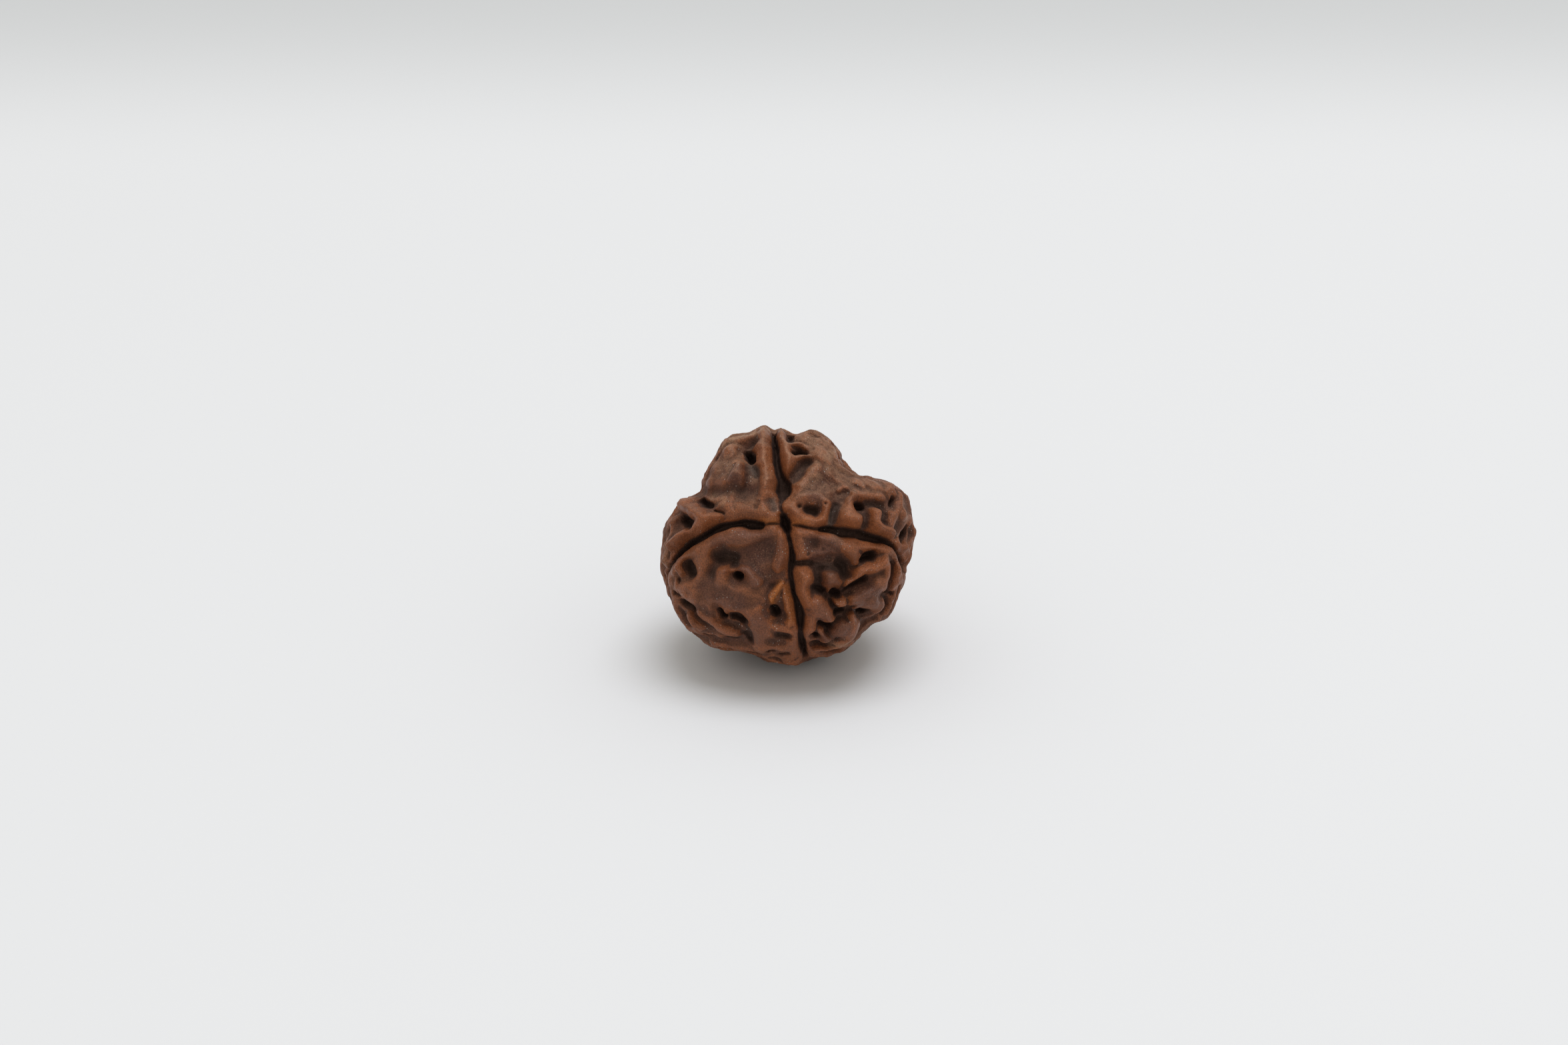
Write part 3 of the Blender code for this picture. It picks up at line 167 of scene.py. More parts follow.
LOWER_RIGHT_HOLLOWS = (
    (0.5, 0.40, ((2.15, -1.5, 0.2), (2.2, -1.8, 0.2))),
    (0.3, 0.20, ((1.65, -2.7, 0.1),)),
    (0.3, 0.20, ((2.9, -2.2, 0.12),)),
    (1.9, 0.34, ((6.35, -3.1, 0.14), (6.7, -2.8, 0.28), (7.2, -2.75, 0.28))),
    (1.7, 0.60, ((4.45, -3.2, 0.24), (4.8, -3.6, 0.34), (4.95, -4.3, 0.2))),
    (1.5, 0.25, ((4.75, -5.75, 0.05), (5.3, -5.4, 0.12), (6.0, -4.95, 0.2), (6.6, -4.7, 0.2))),
    (0.7, 0.70, ((5.3, -5.7, 0.1), (6.1, -5.3, 0.2), (6.8, -5.0, 0.2))),
    (2.0, 0.26, ((4.05, -5.85, 0.3), (4.35, -5.95, 0.28))),
    (1.1, 0.60, ((2.5, -3.95, 0.14), (2.7, -4.6, 0.06), (2.6, -5.3, 0.16))),
    (1.8, 0.40, ((2.35, -5.45, 0.12), (2.7, -5.55, 0.22), (3.05, -5.75, 0.12))),
    (1.1, 0.22, ((3.6, -6.4, 0.1), (3.8, -6.9, 0.14), (4.2, -7.25, 0.14), (4.9, -7.15, 0.16))),
    (1.8, 0.26, ((4.15, -7.6, 0.24), (4.75, -7.5, 0.2))),
    (0.45, 0.30, ((5.1, -6.4, 0.04), (5.15, -6.9, 0.04))),
    (1.7, 0.20, ((2.55, -8.45, 0.14), (3.0, -8.7, 0.14), (3.45, -8.85, 0.22))),
    (1.7, 0.22, ((2.05, -9.45, 0.16), (2.35, -9.65, 0.24))),
    (1.2, 0.20, ((2.2, -10.4, 0.14), (3.3, -10.32, 0.14))),
    (0.8, 0.18, ((2.8, -11.0, 0.1), (3.4, -10.95, 0.1))),
    (0.4, 0.20, ((4.1, -9.65, 0.16),)),
    (0.6, 0.24, ((4.4, -10.7, 0.12), (5.2, -10.45, 0.12))),
    (1.9, 0.24, ((6.3, -7.55, 0.2), (6.75, -7.6, 0.22))),
    (0.8, 0.24, ((6.35, -8.4, 0.14), (6.2, -8.8, 0.18), (6.0, -9.1, 0.12))),
    (1.2, 0.20, ((8.1, -6.0, 0.1), (8.6, -5.85, 0.12), (9.0, -6.0, 0.12))),
    (1.2, 0.24, ((8.8, -3.5, 0.1), (8.7, -4.5, 0.12), (8.55, -5.4, 0.12), (8.3, -6.0, 0.14),
                 (8.65, -6.5, 0.1), (8.6, -7.1, 0.14), (8.3, -7.7, 0.14))),
)
LOWER_LEFT_HOLLOWS = (
    (0.5, 1.40, ((-2.0, -2.4, 0.5), (-3.2, -3.0, 0.6))),
    (1.8, 0.90, ((-5.9, -3.0, 0.26), (-5.2, -2.75, 0.42), (-4.6, -2.85, 0.36),
                 (-4.45, -3.3, 0.2))),
    (0.7, 0.80, ((-6.2, -3.4, 0.2), (-6.5, -4.3, 0.2))),
    (2.2, 0.18, ((-4.2, -4.42, 0.24), (-4.05, -4.46, 0.24))),
    (1.4, 0.40, ((-8.65, -3.6, 0.36), (-8.35, -4.05, 0.44))),
    (0.7, 0.18, ((-9.25, -4.95, 0.12),)),
    (1.5, 0.35, ((-9.1, -6.95, 0.2), (-8.6, -7.15, 0.28), (-8.2, -7.4, 0.14))),
    (0.7, 0.40, ((-7.9, -7.9, 0.14), (-7.3, -8.5, 0.14), (-6.6, -8.9, 0.12))),
    (0.8, 0.20, ((-9.75, -6.0, 0.09), (-9.3, -6.3, 0.09))),
    (2.3, 0.22, ((-5.75, -7.65, 0.26), (-5.6, -7.9, 0.28))),
    (1.8, 0.45, ((-4.8, -8.1, 0.26), (-4.3, -8.15, 0.36), (-3.95, -8.4, 0.28))),
    (0.9, 0.60, ((-5.3, -8.35, 0.2), (-4.4, -8.75, 0.26))),
    (0.7, 0.60, ((-4.5, -8.8, 0.35),)),
    (1.0, 0.40, ((-5.3, -10.0, 0.2), (-4.5, -10.1, 0.24))),
    (1.0, 0.28, ((-7.0, -9.75, 0.14), (-6.4, -9.85, 0.16))),
    (0.5, 0.14, ((-6.85, -7.75, 0.1),)),
    (2.2, 0.26, ((-1.15, -7.45, 0.26), (-1.05, -7.75, 0.28))),
    (0.8, 0.55, ((-0.9, -7.6, 0.45), (-0.55, -7.8, 0.25), (-0.75, -8.1, 0.14))),
    (1.2, 0.50, ((-0.85, -9.55, 0.12), (-0.1, -9.55, 0.18))),
    (0.6, 0.90, ((-1.15, -9.95, 0.16), (-0.45, -9.8, 0.26))),
    (1.0, 0.16, ((-1.75, -11.0, 0.05), (-1.5, -10.86, 0.08), (-1.25, -10.97, 0.05))),
    (1.1, 0.20, ((-0.5, -11.3, 0.1), (0.0, -11.25, 0.12))),
    (1.2, 0.40, ((-3.6, -9.6, 0.34), (-3.4, -10.1, 0.24))),
    (0.9, 0.30, ((-3.75, -8.8, 0.14), (-3.45, -9.3, 0.16))),
)
# Lowlands: the ground between the ridges, lower than the body. Ridges stand out of it.
LOWLANDS = (
    (0.5, 1.40, ((-3.4, 3.2, 0.8), (-3.2, 4.4, 0.5))),
    (0.35, 1.00, ((-7.2, 2.6, 0.4), (-5.6, 2.6, 0.4))),
    (0.4, 1.00, ((-3.6, 6.2, 0.5),)),
    (0.7, 0.80, ((-9.3, 0.0, 0.6), (-8.0, 0.9, 0.3))),
    (0.5, 0.90, ((1.0, 6.2, 0.5), (0.6, 7.2, 0.3))),
    (0.6, 1.00, ((4.9, 6.0, 0.6), (5.2, 5.0, 0.3))),
    (0.5, 0.90, ((4.0, 2.0, 0.4), (3.9, 0.6, 0.4))),
    (0.8, 0.90, ((6.2, 1.2, 0.5), (8.0, 1.3, 0.4), (8.2, 0.3, 0.3))),
    (0.6, 1.20, ((-2.4, -2.3, 0.8), (-3.6, -2.9, 0.8), (-5.6, -3.0, 0.7))),
    (0.5, 1.00, ((-1.8, -4.2, 0.6), (-1.4, -5.4, 0.5))),
    (0.3, 1.20, ((-5.0, -4.9, 0.7),)),
    (0.4, 0.90, ((-8.5, -3.8, 0.6),)),
    (0.45, 0.90, ((-8.9, -7.6, 0.4), (-7.4, -8.8, 0.4), (-5.0, -9.0, 0.5))),
    (0.8, 0.90, ((-6.5, -10.1, 0.3), (-4.2, -10.2, 0.4), (-3.6, -9.2, 0.3))),
    (0.4, 0.90, ((-0.9, -7.4, 0.6),)),
    (0.15, 1.20, ((2.4, -1.9, 0.5), (3.8, -2.2, 0.6))),
    (1.5, 0.80, ((2.6, -3.8, 0.4), (3.6, -3.6, 0.6), (4.9, -3.9, 0.5))),
    (1.1, 0.80, ((5.2, -3.9, 0.3), (6.8, -3.1, 0.4))),
    (1.5, 0.80, ((2.7, -4.6, 0.4), (2.8, -5.6, 0.4), (3.6, -6.0, 0.3))),
    (1.1, 0.80, ((4.2, -6.0, 0.5), (5.2, -5.5, 0.3), (6.6, -4.9, 0.3))),
    (1.1, 0.80, ((4.2, -7.3, 0.4), (5.2, -7.6, 0.4), (6.6, -7.8, 0.3))),
    (1.1, 0.80, ((2.2, -9.4, 0.4), (3.4, -8.9, 0.4), (4.2, -8.2, 0.3))),
    (0.8, 0.80, ((2.2, -10.5, 0.4), (4.8, -10.7, 0.3))),
    (0.7, 0.80, ((6.6, -8.6, 0.4), (7.8, -8.0, 0.3))),
    (0.7, 0.80, ((8.9, -3.8, 0.2), (8.8, -5.4, 0.2), (8.6, -7.0, 0.2))),
    (0.8, 0.80, ((9.3, -0.6, 0.4), (10.2, -1.0, 0.4))),
)
# The seams go on over the back to a second, smaller pit where the canal comes out.
BACK_SEAMS = (
    (1.0, 0.35, ((-1.2, 8.0, 0.16), (-1.3, 6.0, 0.28), (-0.9, 2.5, 0.3), (0.0, -0.8, 0.28),
                 (0.05, -3.5, 0.2))),
    (1.0, 0.35, ((-10.5, -4.9, 0.2), (-8.5, -5.3, 0.3), (-4.5, -4.6, 0.3), (-1.5, -4.1, 0.26),
                 (0.05, -3.8, 0.2))),
    (1.0, 0.35, ((10.1, -3.9, 0.2), (8.2, -4.6, 0.3), (4.5, -4.9, 0.3), (1.8, -4.2, 0.26),
                 (0.05, -3.8, 0.2))),
    (1.0, 0.35, ((1.6, -11.8, 0.16), (1.5, -10.2, 0.28), (0.7, -7.5, 0.3), (0.2, -5.0, 0.26),
                 (0.05, -3.8, 0.2))),
    (1.9, 0.40, ((0.05, -3.74, 0.45),)),
)

# Ridges, lobes and knobs: height, and a path of x, y and half width.
UPPER_LEFT_RIDGES = (
    (0.85, ((-1.8, 7.9, 0.4), (-2.0, 7.0, 0.52), (-2.15, 6.2, 0.7), (-2.05, 5.5, 0.62),
            (-1.8, 4.7, 0.5), (-1.65, 3.9, 0.48), (-1.6, 3.3, 0.4))),
    (0.50, ((-1.6, 3.4, 0.46), (-1.6, 2.5, 0.5), (-1.9, 1.6, 0.5), (-2.3, 1.0, 0.5))),
    (0.35, ((-5.4, 6.85, 0.35), (-4.8, 7.05, 0.4), (-4.0, 7.1, 0.4), (-3.0, 7.3, 0.4),
            (-2.4, 7.8, 0.35))),
    (0.30, ((-5.45, 6.75, 0.4), (-5.8, 6.1, 0.4), (-6.3, 5.6, 0.45))),
    (1.20, ((-4.0, 4.75, 0.3), (-4.25, 4.15, 0.46), (-4.45, 3.5, 0.52))),
    (0.50, ((-4.9, 4.4, 0.7), (-5.3, 3.6, 0.8))),
    (0.45, ((-5.2, 6.0, 0.7), (-5.8, 5.0, 0.9), (-6.2, 4.0, 0.8))),
    (0.35, ((-6.4, 1.95, 0.3), (-5.5, 2.4, 0.3), (-4.9, 2.2, 0.3))),
    (0.25, ((-5.4, 1.35, 0.6), (-4.2, 1.0, 0.7), (-2.8, 1.0, 0.6), (-1.5, 0.7, 0.5))),
    (0.95, ((-5.75, 0.5, 0.22), (-6.6, 0.35, 0.36), (-7.4, 0.0, 0.4), (-8.2, -0.5, 0.36),
            (-8.9, -1.0, 0.34), (-9.5, -1.45, 0.32), (-10.0, -1.9, 0.3))),
    (1.10, ((-8.75, 1.6, 0.46), (-8.2, 1.35, 0.56), (-7.7, 0.9, 0.5), (-7.3, 0.45, 0.42))),
    (0.40, ((-9.9, 0.2, 0.4),)),
    (0.40, ((-10.6, -2.0, 0.35), (-10.6, -3.0, 0.35), (-10.4, -3.9, 0.3))),
    (0.40, ((-10.6, -4.5, 0.4),)),
)
UPPER_RIGHT_RIDGES = (
    (0.75, ((-0.78, 7.9, 0.3), (-0.55, 7.3, 0.36), (-0.35, 6.5, 0.4), (-0.1, 5.7, 0.42),
            (0.05, 5.0, 0.42), (0.05, 4.4, 0.34), (0.0, 3.95, 0.22))),
    (0.45, ((0.2, 5.4, 0.34), (0.9, 5.6, 0.26), (1.5, 5.75, 0.26))),
    (0.45, ((-0.1, 6.75, 0.24), (0.6, 6.72, 0.24), (1.2, 6.6, 0.24), (1.7, 6.3, 0.24))),
    (0.55, ((2.1, 7.3, 1.0), (2.9, 6.8, 1.0), (2.9, 5.8, 0.8))),
    (0.45, ((3.8, 7.0, 0.35), (3.95, 6.4, 0.35), (4.0, 5.4, 0.4), (4.5, 4.7, 0.4),
            (5.5, 4.2, 0.35), (6.1, 3.9, 0.3))),
    (0.35, ((4.75, 6.0, 0.26),)),
    (0.20, ((4.3, 2.75, 0.2), (4.6, 2.9, 0.2), (5.0, 2.8, 0.2))),
    (0.30, ((0.6, 2.9, 0.4), (1.2, 3.6, 0.5), (2.0, 4.6, 0.6))),
    (0.55, ((-0.1, 1.6, 0.32), (0.4, 1.35, 0.42), (0.85, 0.8, 0.42), (1.6, 0.35, 0.36),
            (2.5, 0.35, 0.36), (3.1, 0.55, 0.32), (3.35, 1.1, 0.26), (3.2, 1.6, 0.28))),
    (0.30, ((0.8, 1.9, 0.3), (1.6, 2.1, 0.36), (2.6, 2.0, 0.36), (3.1, 1.7, 0.28))),
    (0.90, ((5.45, 2.4, 0.22), (5.25, 1.8, 0.3), (5.05, 1.2, 0.48), (5.0, 0.6, 0.62))),
    (1.15, ((4.75, 0.45, 0.5), (5.2, 0.25, 0.55), (5.7, 0.3, 0.46))),
    (1.05, ((7.48, 0.75, 0.46), (7.3, 0.15, 0.46), (7.6, -0.25, 0.46), (8.1, -0.55, 0.4),
            (8.8, -0.85, 0.36))),
    (0.40, ((5.9, 2.5, 0.4), (6.8, 2.5, 0.45), (7.6, 2.4, 0.45))),
    (0.75, ((6.2, 3.35, 0.6), (7.1, 3.3, 0.7))),
    (0.80, ((8.45, 3.05, 0.45), (8.6, 2.6, 0.5))),
    (0.50, ((6.95, 4.05, 0.2),)),
    (0.40, ((9.3, 2.4, 0.3), (9.3, 1.4, 0.32), (9.0, 0.7, 0.36), (8.8, 0.0, 0.32))),
    (0.40, ((9.7, 0.8, 0.4),)),
    (0.35, ((10.0, -2.1, 0.35),)),
    (0.35, ((10.3, -3.0, 0.35),)),
)
LOWER_RIGHT_RIDGES = (
    (0.25, ((0.6, -0.6, 0.3), (1.2, -0.7, 0.34), (2.5, -0.85, 0.36), (3.6, -1.05, 0.4),
            (4.4, -1.5, 0.4))),
    (0.20, ((0.7, -0.8, 0.3), (0.75, -1.6, 0.4), (0.9, -2.4, 0.4), (1.0, -2.9, 0.3))),
    (0.50, ((4.9, -1.5, 0.34), (5.6, -1.5, 0.45), (6.4, -1.6, 0.45), (7.2, -1.85, 0.42),
            (8.0, -2.15, 0.36), (8.8, -2.4, 0.32), (9.3, -2.9, 0.28), (9.5, -3.3, 0.26))),
    (0.65, ((5.2, -1.8, 0.5), (5.45, -2.4, 0.48), (5.8, -3.05, 0.36))),
    (1.00, ((5.0, -5.2, 0.14), (5.5, -4.6, 0.36), (6.2, -4.15, 0.42), (7.1, -3.7, 0.42),
            (8.0, -3.25, 0.36))),
    (0.85, ((3.6, -4.75, 0.6), (3.95, -4.9, 0.6), (3.8, -5.35, 0.4))),
    (1.10, ((4.3, -6.72, 0.42), (4.5, -6.65, 0.42))),
    (1.25, ((1.25, -4.15, 0.5), (1.45, -4.6, 0.6), (1.2, -5.35, 0.44), (1.3, -6.0, 0.42),
            (1.6, -6.6, 0.4))),
    (0.80, ((1.6, -4.75, 0.45), (2.0, -4.9, 0.36))),
    (0.95, ((2.5, -6.4, 0.42), (2.65, -7.1, 0.68), (3.4, -7.85, 0.42))),
    (0.50, ((1.7, -7.6, 0.36), (1.9, -8.3, 0.42), (1.8, -8.9, 0.34), (1.5, -9.5, 0.22))),
    (0.80, ((2.65, -8.85, 0.2), (2.9, -9.5, 0.22), (3.2, -9.9, 0.3))),
    (0.85, ((4.3, -8.95, 0.55), (4.9, -9.1, 0.8), (5.2, -9.5, 0.6), (4.6, -9.8, 0.45))),
    (0.65, ((5.4, -7.9, 0.3), (5.6, -8.5, 0.4), (5.6, -9.3, 0.36))),
    (0.85, ((5.5, -6.45, 0.34), (6.4, -6.15, 0.8), (7.2, -5.7, 0.9), (7.8, -5.0, 0.6))),
    (0.95, ((7.1, -6.6, 0.6), (7.75, -6.9, 0.52))),
    (0.85, ((8.3, -3.7, 0.3), (8.35, -4.6, 0.34), (8.15, -5.3, 0.34))),
    (0.60, ((9.35, -3.8, 0.46), (9.3, -4.6, 0.48), (9.2, -5.5, 0.46), (9.05, -6.4, 0.42),
            (8.85, -7.3, 0.36))),
    (0.45, ((2.4, -10.75, 0.2), (3.4, -10.65, 0.2), (4.4, -10.3, 0.26), (5.4, -10.1, 0.24))),
)
LOWER_LEFT_RIDGES = (
    (0.20, ((-1.1, -0.5, 0.26), (-2.0, -0.7, 0.36), (-3.0, -0.85, 0.45), (-4.2, -0.95, 0.5),
            (-5.3, -1.2, 0.5), (-6.5, -1.65, 0.55), (-7.5, -2.0, 0.5))),
    (0.45, ((-7.9, -2.1, 0.4), (-8.7, -2.4, 0.4), (-9.3, -2.9, 0.34), (-9.35, -3.6, 0.26),
            (-9.1, -4.3, 0.24))),
    (0.60, ((-0.45, -0.8, 0.24), (-0.4, -1.6, 0.34), (-0.5, -2.6, 0.4), (-0.7, -3.4, 0.4))),
    (0.55, ((-5.3, -4.0, 0.5), (-5.6, -4.9, 0.7))),
    (0.65, ((-4.4, -3.75, 0.3), (-3.5, -4.1, 0.38), (-2.7, -4.85, 0.38))),
    (0.20, ((-7.2, -2.9, 0.7), (-7.4, -4.2, 0.7))),
    (0.40, ((-9.3, -5.3, 0.35), (-8.6, -5.9, 0.6), (-7.2, -6.2, 0.9), (-5.0, -6.4, 1.0),
            (-3.0, -6.2, 0.9))),
    (0.50, ((-8.2, -7.8, 0.5), (-7.9, -8.5, 0.6))),
    (0.60, ((-5.2, -7.5, 0.18), (-5.15, -7.85, 0.14))),
    (0.45, ((-7.4, -7.9, 0.4), (-6.3, -8.5, 0.5), (-5.3, -9.1, 0.45), (-4.5, -9.4, 0.34))),
    (0.50, ((-0.35, -5.05, 0.16), (-0.9, -5.6, 0.2), (-1.3, -6.2, 0.22), (-1.3, -6.7, 0.12))),
    (0.40, ((-0.1, -5.4, 0.26), (0.1, -6.5, 0.3), (0.05, -7.3, 0.3), (0.25, -8.2, 0.34))),
    (0.65, ((-2.6, -7.6, 0.6), (-2.5, -8.6, 0.75), (-2.2, -9.6, 0.6), (-2.2, -10.6, 0.6))),
    (0.35, ((-0.9, -8.9, 0.34), (0.2, -9.0, 0.32))),
    (0.35, ((-1.2, -10.5, 0.34), (0.3, -10.5, 0.45))),
    (0.40, ((-2.4, -11.5, 0.26), (-0.5, -11.85, 0.3), (1.2, -11.7, 0.3))),
)

# Relief settings. A hollow's wall runs from the first to the second share of its softness
# past the edge, and a wider, gentler mouth has its own share of the depth. A ridge reaches
# out to this many of its half widths, and is gone where a hollow is COVERED_BY deep.
WALL = (1.1, -0.5)
LIP_ROUNDING = 1.2
MOUTH_REACH = 1.0
MOUTH_SHARE = 0.30
RIDGE_SKIRT = 2.0
RIDGE_FOOT = 1.3
RIDGE_COVER = 1.7
JOIN_POWER = 4.0
COVERED_BY = 0.8
WANDER = ((2.2, 0.20), (0.8, 0.09))
SWELL = ((3.4, 0.25), (1.7, 0.20), (0.9, 0.13), (0.5, 0.06))

# The raised net of the sides and back, laid out on a sphere: cells this far apart, some of
# them pits of seeded depth and the rest plates, and a second net of small pits on top.
NETS = (
    {"spacing": 2.7, "pit_share": 0.62, "depths": (0.5, 1.4), "plate": 0.25, "wall": (0.25, 1.5)},
    {"spacing": 1.5, "pit_share": 0.16, "depths": (0.4, 0.8), "plate": 0.0, "wall": (0.35, 0.9)},
)
NET_RADIUS = 10.0
CELL_TRIES = 9000
CELL_GAP = 0.82
NET_WANDER = ((3.5, 1.1), (1.3, 0.45))
NET_FROM_DEG = (64.0, 80.0)

# Ridges, then hollows, fade near the outline, which has its own, and all relief fades over
# the spot that it rests on.
RIDGE_RIM_DEG = (5.0, 20.0)
RIDGE_RIM_LEAST = 0.1
HOLLOW_RIM_DEG = (2.0, 10.0)
HOLLOW_RIM_LEAST = 0.45
SEAM_RIM_LEAST = 0.7
FOOT_FADE_DEG = (11.0, 21.0)
FOOT_CUT = 0.30

NOISE_SIZE = 32
SEEDS = {"wander": 11, "swell": 23, "net": 37, "cells": 41}

# Finer settings of the visible surface, past what the solid holds.
CUTS = 128
FRONT_GATHER = 0.2
GRAIN = ((0.6, 0.05), (0.34, 0.035), (0.2, 0.02))
GRAIN_SEED = 59
FOOT_CLEAR = 0.05

# Edges and crests of the skin stand out of the relief evened in this many rounds. Each goes
# from 0 to 1 over so many millimetres of height.
NEAR_ROUNDS = 25
WIDE_ROUNDS = 220
EDGE_SPAN = 0.30
CREST_SPAN = 1.1
# Depths, in millimetres, between which painted shade darkens a hollow, and the w of a unit
# ray between which the places of colour and of painted shade below come in.
HOLLOW_SHADE = (0.35, 1.35)
FRONT_FADE = (0.0, 0.35)

# Places on the face map with a colour of their own, and one list of places of painted shade:
# strength, and a path as above.
ORANGE_PLACES = (
    (0.6, ((1.2, -4.2, 0.8), (1.3, -5.3, 0.5), (1.5, -6.6, 0.5))),
    (0.8, ((5.3, 1.2, 0.5), (5.3, 0.3, 0.8))),
    (0.7, ((7.4, 0.8, 0.4), (7.4, -0.2, 0.4))),
    (0.8, ((-8.4, 1.7, 0.6),)),
    (0.7, ((-6.0, 0.7, 0.4), (-7.6, 0.2, 0.5), (-9.4, -1.1, 0.3))),
    (0.9, ((0.5, 0.3, 0.3), (1.6, 0.4, 0.4), (3.0, 0.4, 0.3))),
    (0.7, ((0.2, 1.6, 0.5),)),
    (0.6, ((-2.2, 6.0, 0.7), (-1.8, 4.6, 0.4))),
    (0.5, ((-0.4, 6.8, 0.4), (-0.1, 4.6, 0.4))),
    (0.3, ((-0.55, -0.8, 0.3), (-0.6, -2.6, 0.4), (-0.8, -3.6, 0.4))),
    (0.6, ((0.6, -0.5, 0.3), (3.6, -0.9, 0.3), (6.3, -1.3, 0.4), (8.4, -2.0, 0.35))),
    (0.7, ((5.5, -4.1, 0.3), (6.6, -4.1, 0.35), (8.0, -3.4, 0.35))),
    (0.7, ((8.3, -3.6, 0.3), (8.5, -5.4, 0.3))),
    (0.3, ((2.7, -6.6, 0.6), (3.2, -7.6, 0.6))),
    (0.6, ((1.9, -8.3, 0.5), (1.9, -9.0, 0.3))),
    (0.5, ((0.3, -8.5, 0.4), (0.3, -9.0, 0.4))),
    (0.3, ((7.4, -6.8, 0.7),)),
)
AMBER_PLACES = (
    (1.0, ((-0.65, -5.1, 0.14), (-0.95, -5.8, 0.2), (-1.25, -6.4, 0.2), (-1.3, -6.7, 0.12))),
    (0.38, ((-0.1, -5.4, 0.25), (0.1, -6.5, 0.3), (0.2, -7.5, 0.3), (0.3, -8.4, 0.25))),
    (0.7, ((-1.2, 0.2, 0.1), (-2.1, 0.2, 0.1))),
    (0.5, ((0.6, 0.05, 0.1), (1.6, 0.1, 0.1))),
)
PURPLE_PLACES = (
    (0.6, ((3.6, -4.7, 0.7), (3.9, -5.1, 0.5))),
    (0.8, ((6.2, -6.3, 0.8), (7.0, -5.9, 0.8), (7.5, -6.8, 0.4))),
    (0.8, ((2.1, -1.7, 0.7), (3.6, -2.1, 0.7), (2.4, -3.0, 0.5))),
    (0.7, ((-2.0, -1.9, 0.9), (-3.6, -3.2, 1.0), (-3.0, -4.6, 0.8))),
    (0.8, ((-4.4, 3.6, 0.6), (-3.4, 2.8, 0.5))),
    (0.7, ((4.5, -8.8, 0.8), (3.2, -9.5, 0.5))),
    (0.7, ((-4.0, 4.5, 0.4),)),
    (0.6, ((-1.6, -0.9, 0.3), (-4.0, -1.1, 0.5), (-6.2, -1.6, 0.4))),
    (0.5, ((2.8, -7.0, 0.5), (3.2, -7.7, 0.4))),
    (0.5, ((-0.6, -1.6, 0.3), (-0.7, -3.2, 0.4))),
    (0.6, ((-6.8, -5.6, 0.8), (-4.5, -6.4, 0.9))),
    (0.5, ((-2.4, -8.0, 0.6), (-2.4, -9.6, 0.7))),
    (0.6, ((2.2, 2.6, 0.7), (3.0, 3.2, 0.6))),
)
DUST_PLACES = (
    (0.95, ((-5.3, 6.7, 0.3), (-4.2, 7.2, 0.4), (-2.9, 7.5, 0.3))),
    (0.60, ((3.2, 5.4, 0.4), (3.9, 6.2, 0.3))),
    (0.70, ((-2.3, 7.6, 0.3), (-1.8, 7.9, 0.3))),
    (0.60, ((1.2, 7.7, 0.3), (2.4, 7.7, 0.4), (3.5, 7.0, 0.3))),
    (0.45, ((-6.5, 2.2, 0.4), (-5.4, 1.9, 0.4))),
    (0.55, ((3.8, -10.3, 0.3), (5.2, -9.9, 0.4))),
    (0.40, ((1.4, 3.2, 0.3), (2.4, 4.0, 0.4))),
    (0.35, ((3.4, 4.6, 0.5), (4.4, 4.3, 0.5), (5.4, 4.0, 0.3))),
    (0.35, ((-10.4, -1.6, 0.3), (-10.3, -4.5, 0.3))),
    (0.35, ((9.8, 1.6, 0.3), (10.0, 0.4, 0.3))),
)
# Painted shade: places that are dark only because they lie in shade beside the relief.
PAINTED_SHADE_PLACES = (
    (1.0, ((2.6, -3.65, 0.2), (3.5, -3.65, 0.34), (4.7, -3.9, 0.4))),
    (0.6, ((2.5, -4.3, 0.1), (2.7, -5.4, 0.3))),
    (0.5, ((8.1, 1.2, 0.2), (8.2, 0.5, 0.2))),
)
GREY_PLACES = (
    (0.7, ((4.1, 1.5, 0.1), (3.85, 0.9, 0.16), (3.6, -0.1, 0.14))),
    (0.7, ((-3.3, 5.0, 0.1), (-3.0, 4.7, 0.25), (-2.8, 4.3, 0.15))),
    (0.4, ((-1.2, 1.9, 0.3), (-1.1, 1.4, 0.2))),
    (0.4, ((4.4, -1.4, 0.16), (4.0, -1.1, 0.2))),
)
PLACES = {
    "orange": ORANGE_PLACES,
    "amber": AMBER_PLACES,
    "purple": PURPLE_PLACES,
    "deep": PAINTED_SHADE_PLACES,
    "dust": DUST_PLACES,
    "grey": GREY_PLACES,
}
# A place fades between these distances past the edge of its band, in millimetres.
PLACE_FADE = (0.40, -0.20)

# Colours as linear albedo.
BROWN = (0.128, 0.046, 0.020, 1.0)
PURPLE = (0.080, 0.031, 0.020, 1.0)
ORANGE = (0.262, 0.078, 0.024, 1.0)
# Painted shade: a near-black brown laid in creases, lowlands and pits where shade falls.
PAINTED_SHADE = (0.050, 0.027, 0.019, 1.0)
DUST = (0.330, 0.180, 0.103, 1.0)
GREY = (0.180, 0.150, 0.122, 1.0)
AMBER = (0.370, 0.118, 0.025, 1.0)
SPECK = (0.620, 0.580, 0.520, 1.0)
FLOOR_PALE = (0.800, 0.800, 0.799, 1.0)
# Painted shade: the floor's grey far behind the seed.
FLOOR_FAR_SHADE = (0.632, 0.636, 0.632, 1.0)

# The Mix node's sockets for colours, by number: share, lower and upper colour, and result.
MIX_INPUTS = (0, 6, 7)
MIX_OUTPUT = 2

# Noise in the skin and its pale specks, from broad to fine, in cells a metre. A speck is
# full out to the first share of a cell and gone at the second.
BROAD, PATCH, MOTTLE, SPECKS, GRIT, FINEST = 180.0, 700.0, 2200.0, 3000.0, 7000.0, 9000.0
NOISE_DETAIL = 3.0
FINEST_DETAIL = 2.0
NOISE_ROUGHNESS = 0.55
SPECK_SIZE = (0.10, 0.18)
